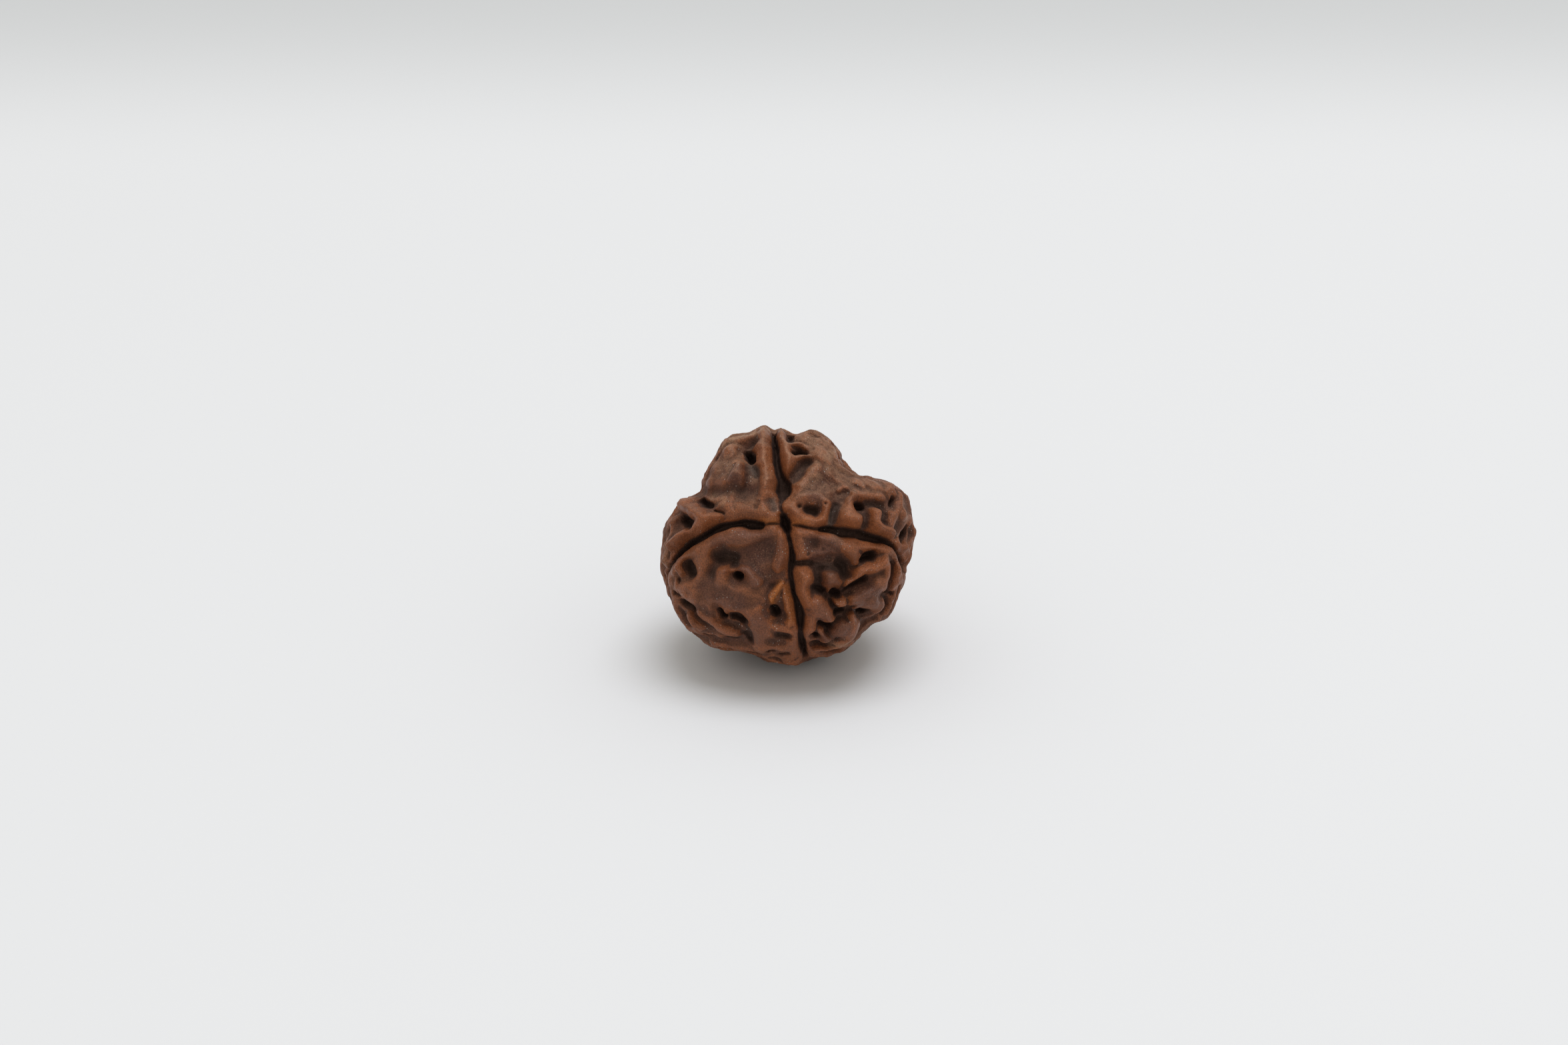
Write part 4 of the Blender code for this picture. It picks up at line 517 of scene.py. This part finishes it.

# What steers the skin goes from 0 to 1 between two values, or, where four are given, from
# the third to the fourth. The film of dust, partly painted top light, also follows the
# height in metres.
SPANS = {
    "purple": (0.65, 1.05),
    "ground": (0.62, 0.3),
    "rubbed": (0.82, 1.15),
    "rubbed_patch": (0.3, 0.65, 0.3, 0.7),
    "orange_mottle": (0.3, 0.6, 0.45, 0.95),
    "purple_patch": (0.3, 0.6, 0.5, 1.0),
    "dusty_grit": (0.53, 0.66),
    "dusty_patch": (0.35, 0.65, 0.25, 1.0),
    # The film of dust on the top's upper faces, partly painted top light that makes the top
    # lighter.
    "top_light_dust_height": (0.0145, 0.0195, 0.06, 1.0),
    "top_light_dust_upward": (0.4, 0.95),
    "top_light_dust_mottle": (0.25, 0.6, 0.2, 1.0),
    "dust_mottle": (0.3, 0.6, 0.3, 1.0),
    "grey_mottle": (0.3, 0.6, 0.4, 0.9),
    "amber_grit": (0.3, 0.6, 0.55, 1.0),
    # Painted shade comes into the creases and the lowlands over these spans.
    "crease_shade": (0.42, 0.12),
    "lowland_shade": (0.30, 0.04),
    "speck_patch": (0.50, 0.62),
    "speckle": (0.30, 0.70, 0.70, 1.30),
    "roughness": (0.2, 0.9, 0.80, 0.46),
}
# The largest share in which each of these is laid on.
SHARES = {
    "purple": 0.65,
    "ground": 0.65,
    # Dust on the top, partly painted top light.
    "dust_and_top_light": 0.45,
    # The next four lay on painted shade.
    "crease_shade": 0.36,
    "lowland_shade": 0.4,
    "deep": 0.8,
    "hollow": 0.66,
    "speck": 0.40,
}
# Weights in the sums that steer the skin.
PURPLE_PATCH = 0.7
RUBBED_EDGE, RUBBED_CREST = 0.8, 0.8
DUSTY_UPWARD, DUSTY_ANYWHERE = 0.3, 0.22
DUSTY_GROUND, DUSTY_CREST = 0.5, 0.5
GLOSS_RUBBED, GLOSS_MOTTLE = 0.6, 0.5
BUMP_MOTTLE, BUMP_GRIT = 0.6, 0.4
SKIN_SPECULAR = 0.28
BUMP_STRENGTH = 0.8
BUMP_METRES = 0.00018

# The floor: its half width, and the stretch behind the seed over which painted shade greys it, in
# metres.
FLOOR_REACH = 1.5
FLOOR_CELLS = 8
FLOOR_FADE = (0.120, 0.190)
FLOOR_ROUGHNESS = 0.85
FLOOR_SPECULAR = 0.1

# The photo's framing: its width in pixels, how many of them a millimetre of the seed takes,
# the point of the face map at its middle, and a long lens.
PHOTO_PIXELS = 2352
PIXELS_PER_MM = 17.385
PHOTO_WIDTH = PHOTO_PIXELS / PIXELS_PER_MM
AIM = (-0.33, 0.07)
SENSOR = 36.0
LENS = 100.0
CLIP_START = 0.01

# An even sky, and one wide round lamp over the seed, in metres and watts.
SKY = (1.000, 1.000, 0.960, 1.0)
SKY_STRENGTH = 0.65
KEY_SIZE = 0.60
KEY_HEIGHT = 0.80
KEY_SIDE = 0.10
KEY_BACK = 0.0
KEY_POWER = 3.15
KEY_COLOUR = (0.900, 0.920, 1.000)


def smooth_step(low, high, value):
    """0 at low, 1 at high, with level ends."""
    t = np.clip((value - low) / (high - low), 0.0, 1.0)
    return t * t * (3.0 - 2.0 * t)


def noise(points, cell, table):
    """Smooth noise from -1 to 1 that repeats only past the seed's size."""
    scaled = points / cell
    corner = np.floor(scaled).astype(int)
    part = scaled - corner
    part = part * part * (3.0 - 2.0 * part)
    total = np.zeros(len(points))
    for step in product((0, 1), repeat=3):
        share = np.prod(np.where(step, part, 1.0 - part), axis=1)
        x, y, z = ((corner + step) % NOISE_SIZE).T
        total += share * table[x, y, z]
    return total


def noise_table(name, count):
    random = np.random.default_rng(SEEDS[name])
    return random.uniform(-1.0, 1.0, (count, NOISE_SIZE, NOISE_SIZE, NOISE_SIZE))


def wandered(points, scales, name):
    """The points moved about a little, so that no edge drawn at them is straight."""
    tables = noise_table(name, 3)
    moved = points.copy()
    for cell, amount in scales:
        moved += amount * np.column_stack([noise(points, cell, table) for table in tables])
    return moved


def outline_rings():
    """Radius of the body, and what the rim adds to it, at even angles round the middle."""
    knots = np.array(OUTLINE) - MIDDLE
    turns = np.linspace(0.0, 2.0 * math.pi, OUTLINE_STEPS, endpoint=False)
    knot_turns = np.arctan2(knots[:, 1], knots[:, 0])
    radii = np.interp(turns, knot_turns, np.hypot(*knots.T), period=2.0 * math.pi)
    spectrum = np.fft.rfft(radii)
    order = np.arange(len(spectrum))
    body = np.fft.irfft(spectrum * np.exp(-((order / BODY_HARMONICS) ** 2)), OUTLINE_STEPS)
    whole = np.fft.irfft(spectrum * np.exp(-((order / RIM_HARMONICS) ** 2)), OUTLINE_STEPS)
    return body, whole - body


BODY_RING, RIM_RING = outline_rings()


def ring_value(ring, turns):
    places = np.linspace(0.0, 2.0 * math.pi, OUTLINE_STEPS, endpoint=False)
    return np.interp(turns, places, ring, period=2.0 * math.pi)


def base_radius(rays):
    """Radius of the seed without its relief, along unit rays from its middle."""
    turns = np.arctan2(rays[:, 1], rays[:, 0])
    across = np.hypot(rays[:, 0], rays[:, 1]) / ring_value(BODY_RING, turns)
    through = np.abs(rays[:, 2]) / HALF_DEPTH
    radius = (across**SQUARENESS + through**SQUARENESS) ** (-1.0 / SQUARENESS)
    above_rim = np.degrees(np.arcsin(np.clip(rays[:, 2], -1.0, 1.0)))
    return radius + ring_value(RIM_RING, turns) * np.exp(-((above_rim / RIM_BAND_DEG) ** 2))


def lifted(path, side):
    """Points of the face map on the base surface, at the front (side 1) or back (-1)."""
    flat = np.array(path)[:, :2] - MIDDLE
    depth = np.full(len(flat), HALF_DEPTH)
    for _ in range(SPOT_ROUNDS):
        spots = np.column_stack([flat, side * depth])
        length = np.linalg.norm(spots, axis=1)
        radius = base_radius(spots / length[:, None])
        depth = np.sqrt(np.clip(radius**2 - (flat**2).sum(axis=1), 0.0, None))
    return spots


def from_band(points, path, side):
    """Distance past the edge of a band along path, and distance from its middle line
    as a share of its half width there."""
    spine = lifted(path, side)
    widths = np.array(path)[:, 2]
    past, share = np.full(len(points), np.inf), np.full(len(points), np.inf)
    for k in range(max(1, len(spine) - 1)):
        start, end = spine[k], spine[min(k + 1, len(spine) - 1)]
        run = end - start
        along = np.clip((points - start) @ run / max(run @ run, 1e-9), 0.0, 1.0)
        width = widths[k] + along * (widths[min(k + 1, len(spine) - 1)] - widths[k])
        apart = np.linalg.norm(points - start - along[:, None] * run, axis=1)
        nearer = apart - width < past
        past = np.where(nearer, apart - width, past)
        share = np.where(nearer, apart / width, share)
    return past, share


def near(points, path, side):
    """Indices of the points that a feature on this path can reach."""
    spine = lifted(path, side)
    middle = spine.mean(axis=0)
    reach = np.linalg.norm(spine - middle, axis=1).max() + FEATURE_REACH
    return np.flatnonzero(((points - middle) ** 2).sum(axis=1) < reach**2)


def joined(points, features, side, shape):
    """The features' amounts, blended so that where two meet the larger one counts."""
    total = np.zeros(len(points))
    for size, *soft, path in features:
        reached = near(points, path, side)
        past, share = from_band(points[reached], path, side)
        total[reached] += shape(size, soft, past, share) ** JOIN_POWER
    return total ** (1.0 / JOIN_POWER)


def larger(one, other):
    """The larger of two amounts, rounded where they are alike."""
    return (one**JOIN_POWER + other**JOIN_POWER) ** (1.0 / JOIN_POWER)


def hollow(depth, soft, past, share):
    wall = smooth_step(WALL[0] * soft[0], WALL[1] * soft[0], past) ** LIP_ROUNDING
    mouth = smooth_step(MOUTH_REACH, -MOUTH_REACH / 3.0, past)
    return depth * (wall + MOUTH_SHARE * (mouth - wall))


def ridge(height, soft, past, share):
    """How much of a ridge covers each point, and so how far it lifts out of the lowland."""
    return height * np.clip(1.0 - (share / RIDGE_SKIRT) ** 2, 0.0, 1.0) ** RIDGE_FOOT


def placed_relief(points):
    """Depth of the seams and of the other hollows, and height of the ground, from the map."""
    pits = (*UPPER_LEFT_HOLLOWS, *UPPER_RIGHT_HOLLOWS, *LOWER_RIGHT_HOLLOWS)
    pits += LOWER_LEFT_HOLLOWS
    ridges = (*UPPER_LEFT_RIDGES, *UPPER_RIGHT_RIDGES, *LOWER_RIGHT_RIDGES)
    ridges += LOWER_LEFT_RIDGES
    seams = np.maximum(joined(points, SEAMS, 1, hollow), joined(points, BACK_SEAMS, -1, hollow))
    hollows = joined(points, pits, 1, hollow)
    low = joined(points, LOWLANDS, 1, hollow)
    raised = joined(points, ridges, 1, ridge)
    covers = joined(points, [(1.0, path) for _, path in ridges], 1, ridge)
    ground = raised - low * (1.0 - np.clip(RIDGE_COVER * covers, 0.0, 1.0))
    return seams, hollows, ground


def cell_middles(spacing, random):
    """Points spread over the sphere, none much nearer to another than the spacing."""
    kept = np.empty((0, 3))
    for spot in random.normal(size=(CELL_TRIES, 3)):
        spot = NET_RADIUS * spot / np.linalg.norm(spot)
        if not (((kept - spot) ** 2).sum(axis=1) < (spacing * CELL_GAP) ** 2).any():
            kept = np.vstack([kept, spot])
    return kept


def net_depth(rays):
    """Depth of the pits between the strands of the raised net, over the whole sphere."""
    spots = wandered(NET_RADIUS * rays, NET_WANDER, "net")
    total = np.zeros(len(rays))
    random = np.random.default_rng(SEEDS["cells"])
    for net in NETS:
        middles = cell_middles(net["spacing"], random)
        pits = random.uniform(size=len(middles)) < net["pit_share"]
        depths = np.where(pits, random.uniform(*net["depths"], len(middles)), net["plate"])
        first, second = np.full(len(spots), np.inf), np.full(len(spots), np.inf)
        own = np.zeros(len(spots), dtype=int)
        for index, middle in enumerate(middles):
            apart = ((spots - middle) ** 2).sum(axis=1)
            nearest = apart < first
            second = np.where(nearest, first, np.minimum(second, apart))
            first = np.where(nearest, apart, first)
            own = np.where(nearest, index, own)
        border = np.sqrt(second) - np.sqrt(first)
        total += depths[own] * smooth_step(*net["wall"], border)
    return total


def swell(points):
    tables = noise_table("swell", len(SWELL))
    return sum(a * noise(points, cell, table) for (cell, a), table in zip(SWELL, tables))


def foot_ray():
    """The ray that points straight down as the seed rests."""
    lean = math.radians(LEAN_DEG)
    return np.array([0.0, -math.cos(lean), -math.sin(lean)])


def outward(rays):
    """The unit direction that relief takes on each ray."""
    leaning = rays * (1.0, 1.0, LEAN_TO_AXIS)
    return leaning / np.linalg.norm(leaning, axis=1)[:, None]


def seed_relief(rays):
    """Base points and outward directions, depth of the hollows and height of the ground."""
    base = rays * base_radius(rays)[:, None]
    seams, hollows, ground = placed_relief(wandered(base, WANDER, "wander"))
    from_front = np.degrees(np.arccos(np.clip(rays[:, 2], -1.0, 1.0)))
    from_rim = np.abs(from_front - 90.0)
    net = net_depth(rays) * smooth_step(*NET_FROM_DEG, from_front)
    inner = smooth_step(*HOLLOW_RIM_DEG, from_rim)
    hollows = larger(hollows, net) * (HOLLOW_RIM_LEAST + (1.0 - HOLLOW_RIM_LEAST) * inner)
    hollows = larger(hollows, seams * (SEAM_RIM_LEAST + (1.0 - SEAM_RIM_LEAST) * inner))
    raised = ground * np.clip(1.0 - hollows / COVERED_BY, 0.0, 1.0) + swell(base)
    raised *= RIDGE_RIM_LEAST + (1.0 - RIDGE_RIM_LEAST) * smooth_step(*RIDGE_RIM_DEG, from_rim)
    from_foot = np.degrees(np.arccos(np.clip(rays @ foot_ray(), -1.0, 1.0)))
    foot = smooth_step(*FOOT_FADE_DEG, from_foot)
    return base, outward(rays), hollows * foot, raised * foot


def standing(points):
    """Face-map points turned so that +Z is up and the front faces -Y, in millimetres."""
    lean = math.radians(LEAN_DEG)
    x, y, w = points.T
    back = y * math.sin(lean) - w * math.cos(lean)
    up = y * math.cos(lean) + w * math.sin(lean)
    return np.column_stack([x, back, up])


def gathered(rays):
    """The rays drawn a little towards the front, where the mesh then is finer."""
    from_front = np.arccos(np.clip(rays[:, 2], -1.0, 1.0))
    drawn = from_front - FRONT_GATHER * np.sin(from_front)
    turns = np.arctan2(rays[:, 1], rays[:, 0])
    across = np.sin(drawn)
    return np.column_stack([across * np.cos(turns), across * np.sin(turns), np.cos(drawn)])


def fine_sphere():
    """A cube of fine grids, and the unit rays that its vertices go out on."""
    mesh = bpy.data.meshes.new("seed")
    shape = bmesh.new()
    bmesh.ops.create_cube(shape, size=2.0)
    bmesh.ops.subdivide_edges(shape, edges=shape.edges, cuts=CUTS - 1, use_grid_fill=True)
    shape.to_mesh(mesh)
    shape.free()
    spots = np.empty(len(mesh.vertices) * 3, np.float32)
    mesh.vertices.foreach_get("co", spots)
    spots = np.tan(spots.reshape(-1, 3).astype(float) * math.pi / 4.0)
    return mesh, gathered(spots / np.linalg.norm(spots, axis=1)[:, None])


def evened(values, ends, rounds):
    """Values at the mesh's vertices, each taken this many times halfway to its neighbours."""
    count = np.bincount(ends.ravel(), minlength=len(values))
    for _ in range(rounds):
        total = np.bincount(ends[:, 0], values[ends[:, 1]], len(values))
        total += np.bincount(ends[:, 1], values[ends[:, 0]], len(values))
        values = 0.5 * values + 0.5 * total / count
    return values


def place_shape(strength, soft, past, share):
    return strength * smooth_step(*PLACE_FADE, past)


def fitted(points):
    """The points with their foot flattened, moved and scaled to fill the solid's own box,
    then where that takes the body's middle, and the scale."""
    low, high = (np.array(corner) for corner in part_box(NODE))
    points = points * MM
    points[:, 2] = np.maximum(points[:, 2], points[:, 2].min() + FOOT_CUT * MM)
    own_low, own_high = points.min(axis=0), points.max(axis=0)
    scale = (high - low) / (own_high - own_low)
    return low + (points - own_low) * scale, low - own_low * scale, scale


def make_seed():
    """The seed with the values that its skin follows, the place of its middle and its scale."""
    mesh, rays = fine_sphere()
    base, out, hollows, raised = seed_relief(rays)
    random = np.random.default_rng(GRAIN_SEED)
    grain = np.zeros(len(rays))
    for cell, amount in GRAIN:
        table = random.uniform(-1.0, 1.0, (NOISE_SIZE,) * 3)
        grain += amount * noise(base, cell, table)
    relief = raised - hollows + grain
    points, middle, scale = fitted(standing(base + out * relief[:, None]))
    mesh.vertices.foreach_set("co", points.astype(np.float32).ravel())
    mesh.update()
    mesh.shade_smooth()

    ends = np.empty(len(mesh.edges) * 2, np.int32)
    mesh.edges.foreach_get("vertices", ends)
    ends = ends.reshape(-1, 2)
    near_level = evened(relief, ends, NEAR_ROUNDS)
    wide_level = evened(relief, ends, WIDE_ROUNDS)
    normals = np.empty(len(mesh.vertices) * 3, np.float32)
    mesh.vertices.foreach_get("normal", normals)
    front = smooth_step(*FRONT_FADE, rays[:, 2])
    values = {
        # The depth of each hollow steers the painted shade in the pits.
        "hollow": smooth_step(*HOLLOW_SHADE, hollows),
        "edge": np.clip(0.5 + (relief - near_level) / EDGE_SPAN, 0.0, 1.0),
        "crest": np.clip(0.5 + (relief - wide_level) / CREST_SPAN, 0.0, 1.0),
        "upward": np.clip(normals.reshape(-1, 3)[:, 2], 0.0, 1.0),
    }
    for name, places in PLACES.items():
        values[name] = joined(base, places, 1, place_shape) * front
    for name, value in values.items():
        layer = mesh.attributes.new(name, "FLOAT", "POINT")
        layer.data.foreach_set("value", value.astype(np.float32))
    seed = bpy.data.objects.new("seed", mesh)
    bpy.context.scene.collection.objects.link(seed)
    mesh.materials.append(seed_material())
    return seed, middle, scale


class Nodes:
    """A material's node tree, with short calls for the nodes that this file uses."""

    def __init__(self, name):
        self.material = bpy.data.materials.new(name)
        self.material.use_nodes = True
        self.tree = self.material.node_tree
        self.shader = self.tree.nodes["Principled BSDF"]

    def add(self, kind, inputs=(), **settings):
        node = self.tree.nodes.new("ShaderNode" + kind)
        for key, value in settings.items():
            setattr(node, key, value)
        for key, value in dict(inputs).items():
            self.put(node.inputs[key], value)
        return node

    def put(self, socket, value):
        if isinstance(value, bpy.types.NodeSocket):
            self.tree.links.new(value, socket)
        else:
            socket.default_value = value

    def place(self):
        return self.add("TexCoord").outputs["Object"]

    def attribute(self, name):
        return self.add("Attribute", attribute_name=name).outputs["Fac"]

    def noise(self, per_metre, detail=NOISE_DETAIL):
        inputs = {"Vector": self.place(), "Scale": per_metre}
        inputs |= {"Detail": detail, "Roughness": NOISE_ROUGHNESS}
        return self.add("TexNoise", inputs).outputs["Fac"]

    def spots(self, per_metre, low, high):
        """1 near the middles of scattered cells, 0 away from them."""
        cells = self.add("TexVoronoi", {"Vector": self.place(), "Scale": per_metre})
        return self.range(cells.outputs["Distance"], high, low)

    def range(self, value, low, high, to_low=0.0, to_high=1.0):
        inputs = {"Value": value, "From Min": low, "From Max": high}
        inputs |= {"To Min": to_low, "To Max": to_high}
        return self.add("MapRange", inputs, interpolation_type="SMOOTHSTEP").outputs["Result"]

    def span(self, name, value):
        """The value stretched as SPANS gives it under this name."""
        return self.range(value, *SPANS[name])

    def math(self, operation, one, other):
        return self.add("Math", {0: one, 1: other}, operation=operation).outputs[0]

    def times(self, *values):
        total = values[0]
        for value in values[1:]:
            total = self.math("MULTIPLY", total, value)
        return total

    def mix(self, share, below, above):
        node = self.add("Mix", data_type="RGBA")
        for socket, value in zip(MIX_INPUTS, (share, below, above)):
            self.put(node.inputs[socket], value)
        return node.outputs[MIX_OUTPUT]

    def layer(self, below, above, *shares):
        """One colour laid on another, in the product of the shares."""
        return self.mix(self.times(*shares), below, above)


def seed_material():
    """Brown wax over a woody stone: orange on the crests, purple and dusty in the ground
    between them, painted shade near black in the creases, lowlands and pits, painted top light
    in the dust on the upper faces, with fine grit and a few pale specks."""
    n = Nodes("seed_brown")
    edge, crest, upward = n.attribute("edge"), n.attribute("crest"), n.attribute("upward")
    broad, patch, mottle, grit = (n.noise(scale) for scale in (BROAD, PATCH, MOTTLE, GRIT))
    split = n.add("SeparateXYZ", {"Vector": n.place()})

    purple = n.span("purple", n.math("ADD", broad, n.times(patch, PURPLE_PATCH)))
    ground = n.span("ground", crest)
    dark = n.math("MAXIMUM", n.times(purple, SHARES["purple"]), n.times(ground, SHARES["ground"]))
    colour = n.mix(dark, BROWN, PURPLE)
    worn = n.math("ADD", n.times(edge, RUBBED_EDGE), n.times(crest, RUBBED_CREST))
    rubbed = n.span("rubbed", worn)
    colour = n.layer(colour, ORANGE, rubbed, n.span("rubbed_patch", patch))
    colour = n.layer(colour, ORANGE, n.attribute("orange"), n.span("orange_mottle", mottle))
    colour = n.layer(colour, PURPLE, n.attribute("purple"), n.span("purple_patch", patch))
    turned_up = n.math("ADD", n.times(upward, DUSTY_UPWARD), DUSTY_ANYWHERE)
    lying_low = n.math("ADD", n.times(ground, DUSTY_GROUND), DUSTY_CREST)
    grains = n.times(n.span("dusty_grit", grit), n.span("dusty_patch", patch))
    colour = n.layer(colour, DUST, grains, turned_up, lying_low)
    # A film of dust on the upper faces of the top, laid on partly as painted top light that makes
    # the top lighter.
    dust_and_top_light = n.times(n.span("top_light_dust_upward", upward), n.span("top_light_dust_mottle", mottle))
    dust_and_top_light = n.times(dust_and_top_light, n.span("top_light_dust_height", split.outputs["Z"]), SHARES["dust_and_top_light"])
    settled = n.times(n.attribute("dust"), n.span("dust_mottle", mottle))
    colour = n.layer(colour, DUST, n.math("MAXIMUM", dust_and_top_light, settled))
    colour = n.layer(colour, GREY, n.attribute("grey"), n.span("grey_mottle", mottle))
    colour = n.layer(colour, AMBER, n.attribute("amber"), n.span("amber_grit", grit))
    # Painted shade: near-black brown in creases, in the lowlands between the ridges, in the
    # places listed for it and in the pits.
    colour = n.layer(colour, PAINTED_SHADE, n.span("crease_shade", edge), SHARES["crease_shade"])
    colour = n.layer(colour, PAINTED_SHADE, n.span("lowland_shade", crest), SHARES["lowland_shade"])
    colour = n.layer(colour, PAINTED_SHADE, n.attribute("deep"), SHARES["deep"])
    colour = n.layer(colour, PAINTED_SHADE, n.attribute("hollow"), SHARES["hollow"])
    specks = n.times(n.spots(SPECKS, *SPECK_SIZE), n.span("speck_patch", patch))
    colour = n.layer(colour, SPECK, specks, SHARES["speck"])
    speckle = n.span("speckle", n.noise(FINEST, FINEST_DETAIL))
    shade = n.add("VectorMath", {0: colour, 1: speckle}, operation="MULTIPLY")
    n.put(n.shader.inputs["Base Color"], shade.outputs["Vector"])

    gloss = n.math("ADD", n.times(rubbed, GLOSS_RUBBED), n.times(mottle, GLOSS_MOTTLE))
    n.put(n.shader.inputs["Roughness"], n.span("roughness", gloss))
    n.shader.inputs["Specular IOR Level"].default_value = SKIN_SPECULAR
    height = n.math("ADD", n.times(mottle, BUMP_MOTTLE), n.times(grit, BUMP_GRIT))
    inputs = {"Strength": BUMP_STRENGTH, "Distance": BUMP_METRES, "Height": height}
    n.put(n.shader.inputs["Normal"], n.add("Bump", inputs).outputs["Normal"])
    return n.material


def make_floor():
    """A wide pale floor, with painted shade making it a little greyer far behind the seed."""
    mesh = bpy.data.meshes.new("floor")
    shape = bmesh.new()
    cells = {"x_segments": FLOOR_CELLS, "y_segments": FLOOR_CELLS}
    bmesh.ops.create_grid(shape, size=FLOOR_REACH, **cells)
    shape.to_mesh(mesh)
    shape.free()
    floor = bpy.data.objects.new("floor", mesh)
    floor.location.z = -FOOT_CLEAR * MM
    bpy.context.scene.collection.objects.link(floor)
    n = Nodes("floor_pale")
    split = n.add("SeparateXYZ", {"Vector": n.place()})
    # Painted shade: the floor turns greyer far behind the seed.
    far = n.range(split.outputs["Y"], *FLOOR_FADE)
    n.put(n.shader.inputs["Base Color"], n.mix(far, FLOOR_PALE, FLOOR_FAR_SHADE))
    n.shader.inputs["Roughness"].default_value = FLOOR_ROUGHNESS
    n.shader.inputs["Specular IOR Level"].default_value = FLOOR_SPECULAR
    mesh.materials.append(n.material)


def make_light():
    world = bpy.data.worlds.new("soft_studio")
    world.use_nodes = True
    background = world.node_tree.nodes["Background"]
    background.inputs["Color"].default_value = SKY
    background.inputs["Strength"].default_value = SKY_STRENGTH
    bpy.context.scene.world = world
    data = bpy.data.lights.new("key", "AREA")
    data.shape = "DISK"
    data.size = KEY_SIZE
    data.energy = KEY_POWER
    data.color = KEY_COLOUR
    key = bpy.data.objects.new("key", data)
    key.location = (KEY_SIDE, KEY_BACK, KEY_HEIGHT)
    key.rotation_euler = (-key.location).to_track_quat("-Z", "Y").to_euler()
    bpy.context.scene.collection.objects.link(key)


def make_camera(middle, scale):
    """The photo's camera: square on to the face map, far back, with the photo's framing."""
    distance = PHOTO_WIDTH * LENS / SENSOR
    aim = np.array([[AIM[0], AIM[1], 0.0], [AIM[0], AIM[1], distance]])
    aim[:, :2] -= MIDDLE
    target, eye = (Vector(spot) for spot in standing(aim) * MM * scale + middle)
    data = bpy.data.cameras.new("camera")
    data.sensor_width = SENSOR
    data.lens = LENS
    data.clip_start = CLIP_START
    camera = bpy.data.objects.new("camera", data)
    camera.location = eye
    camera.rotation_euler = (target - eye).to_track_quat("-Z", "Y").to_euler()
    bpy.context.scene.collection.objects.link(camera)
    bpy.context.scene.camera = camera


seed, middle, scale = make_seed()
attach(seed, "root")
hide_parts(NODE)
make_floor()
make_light()
make_camera(middle, scale)
bpy.context.scene.view_settings.view_transform = "Standard"
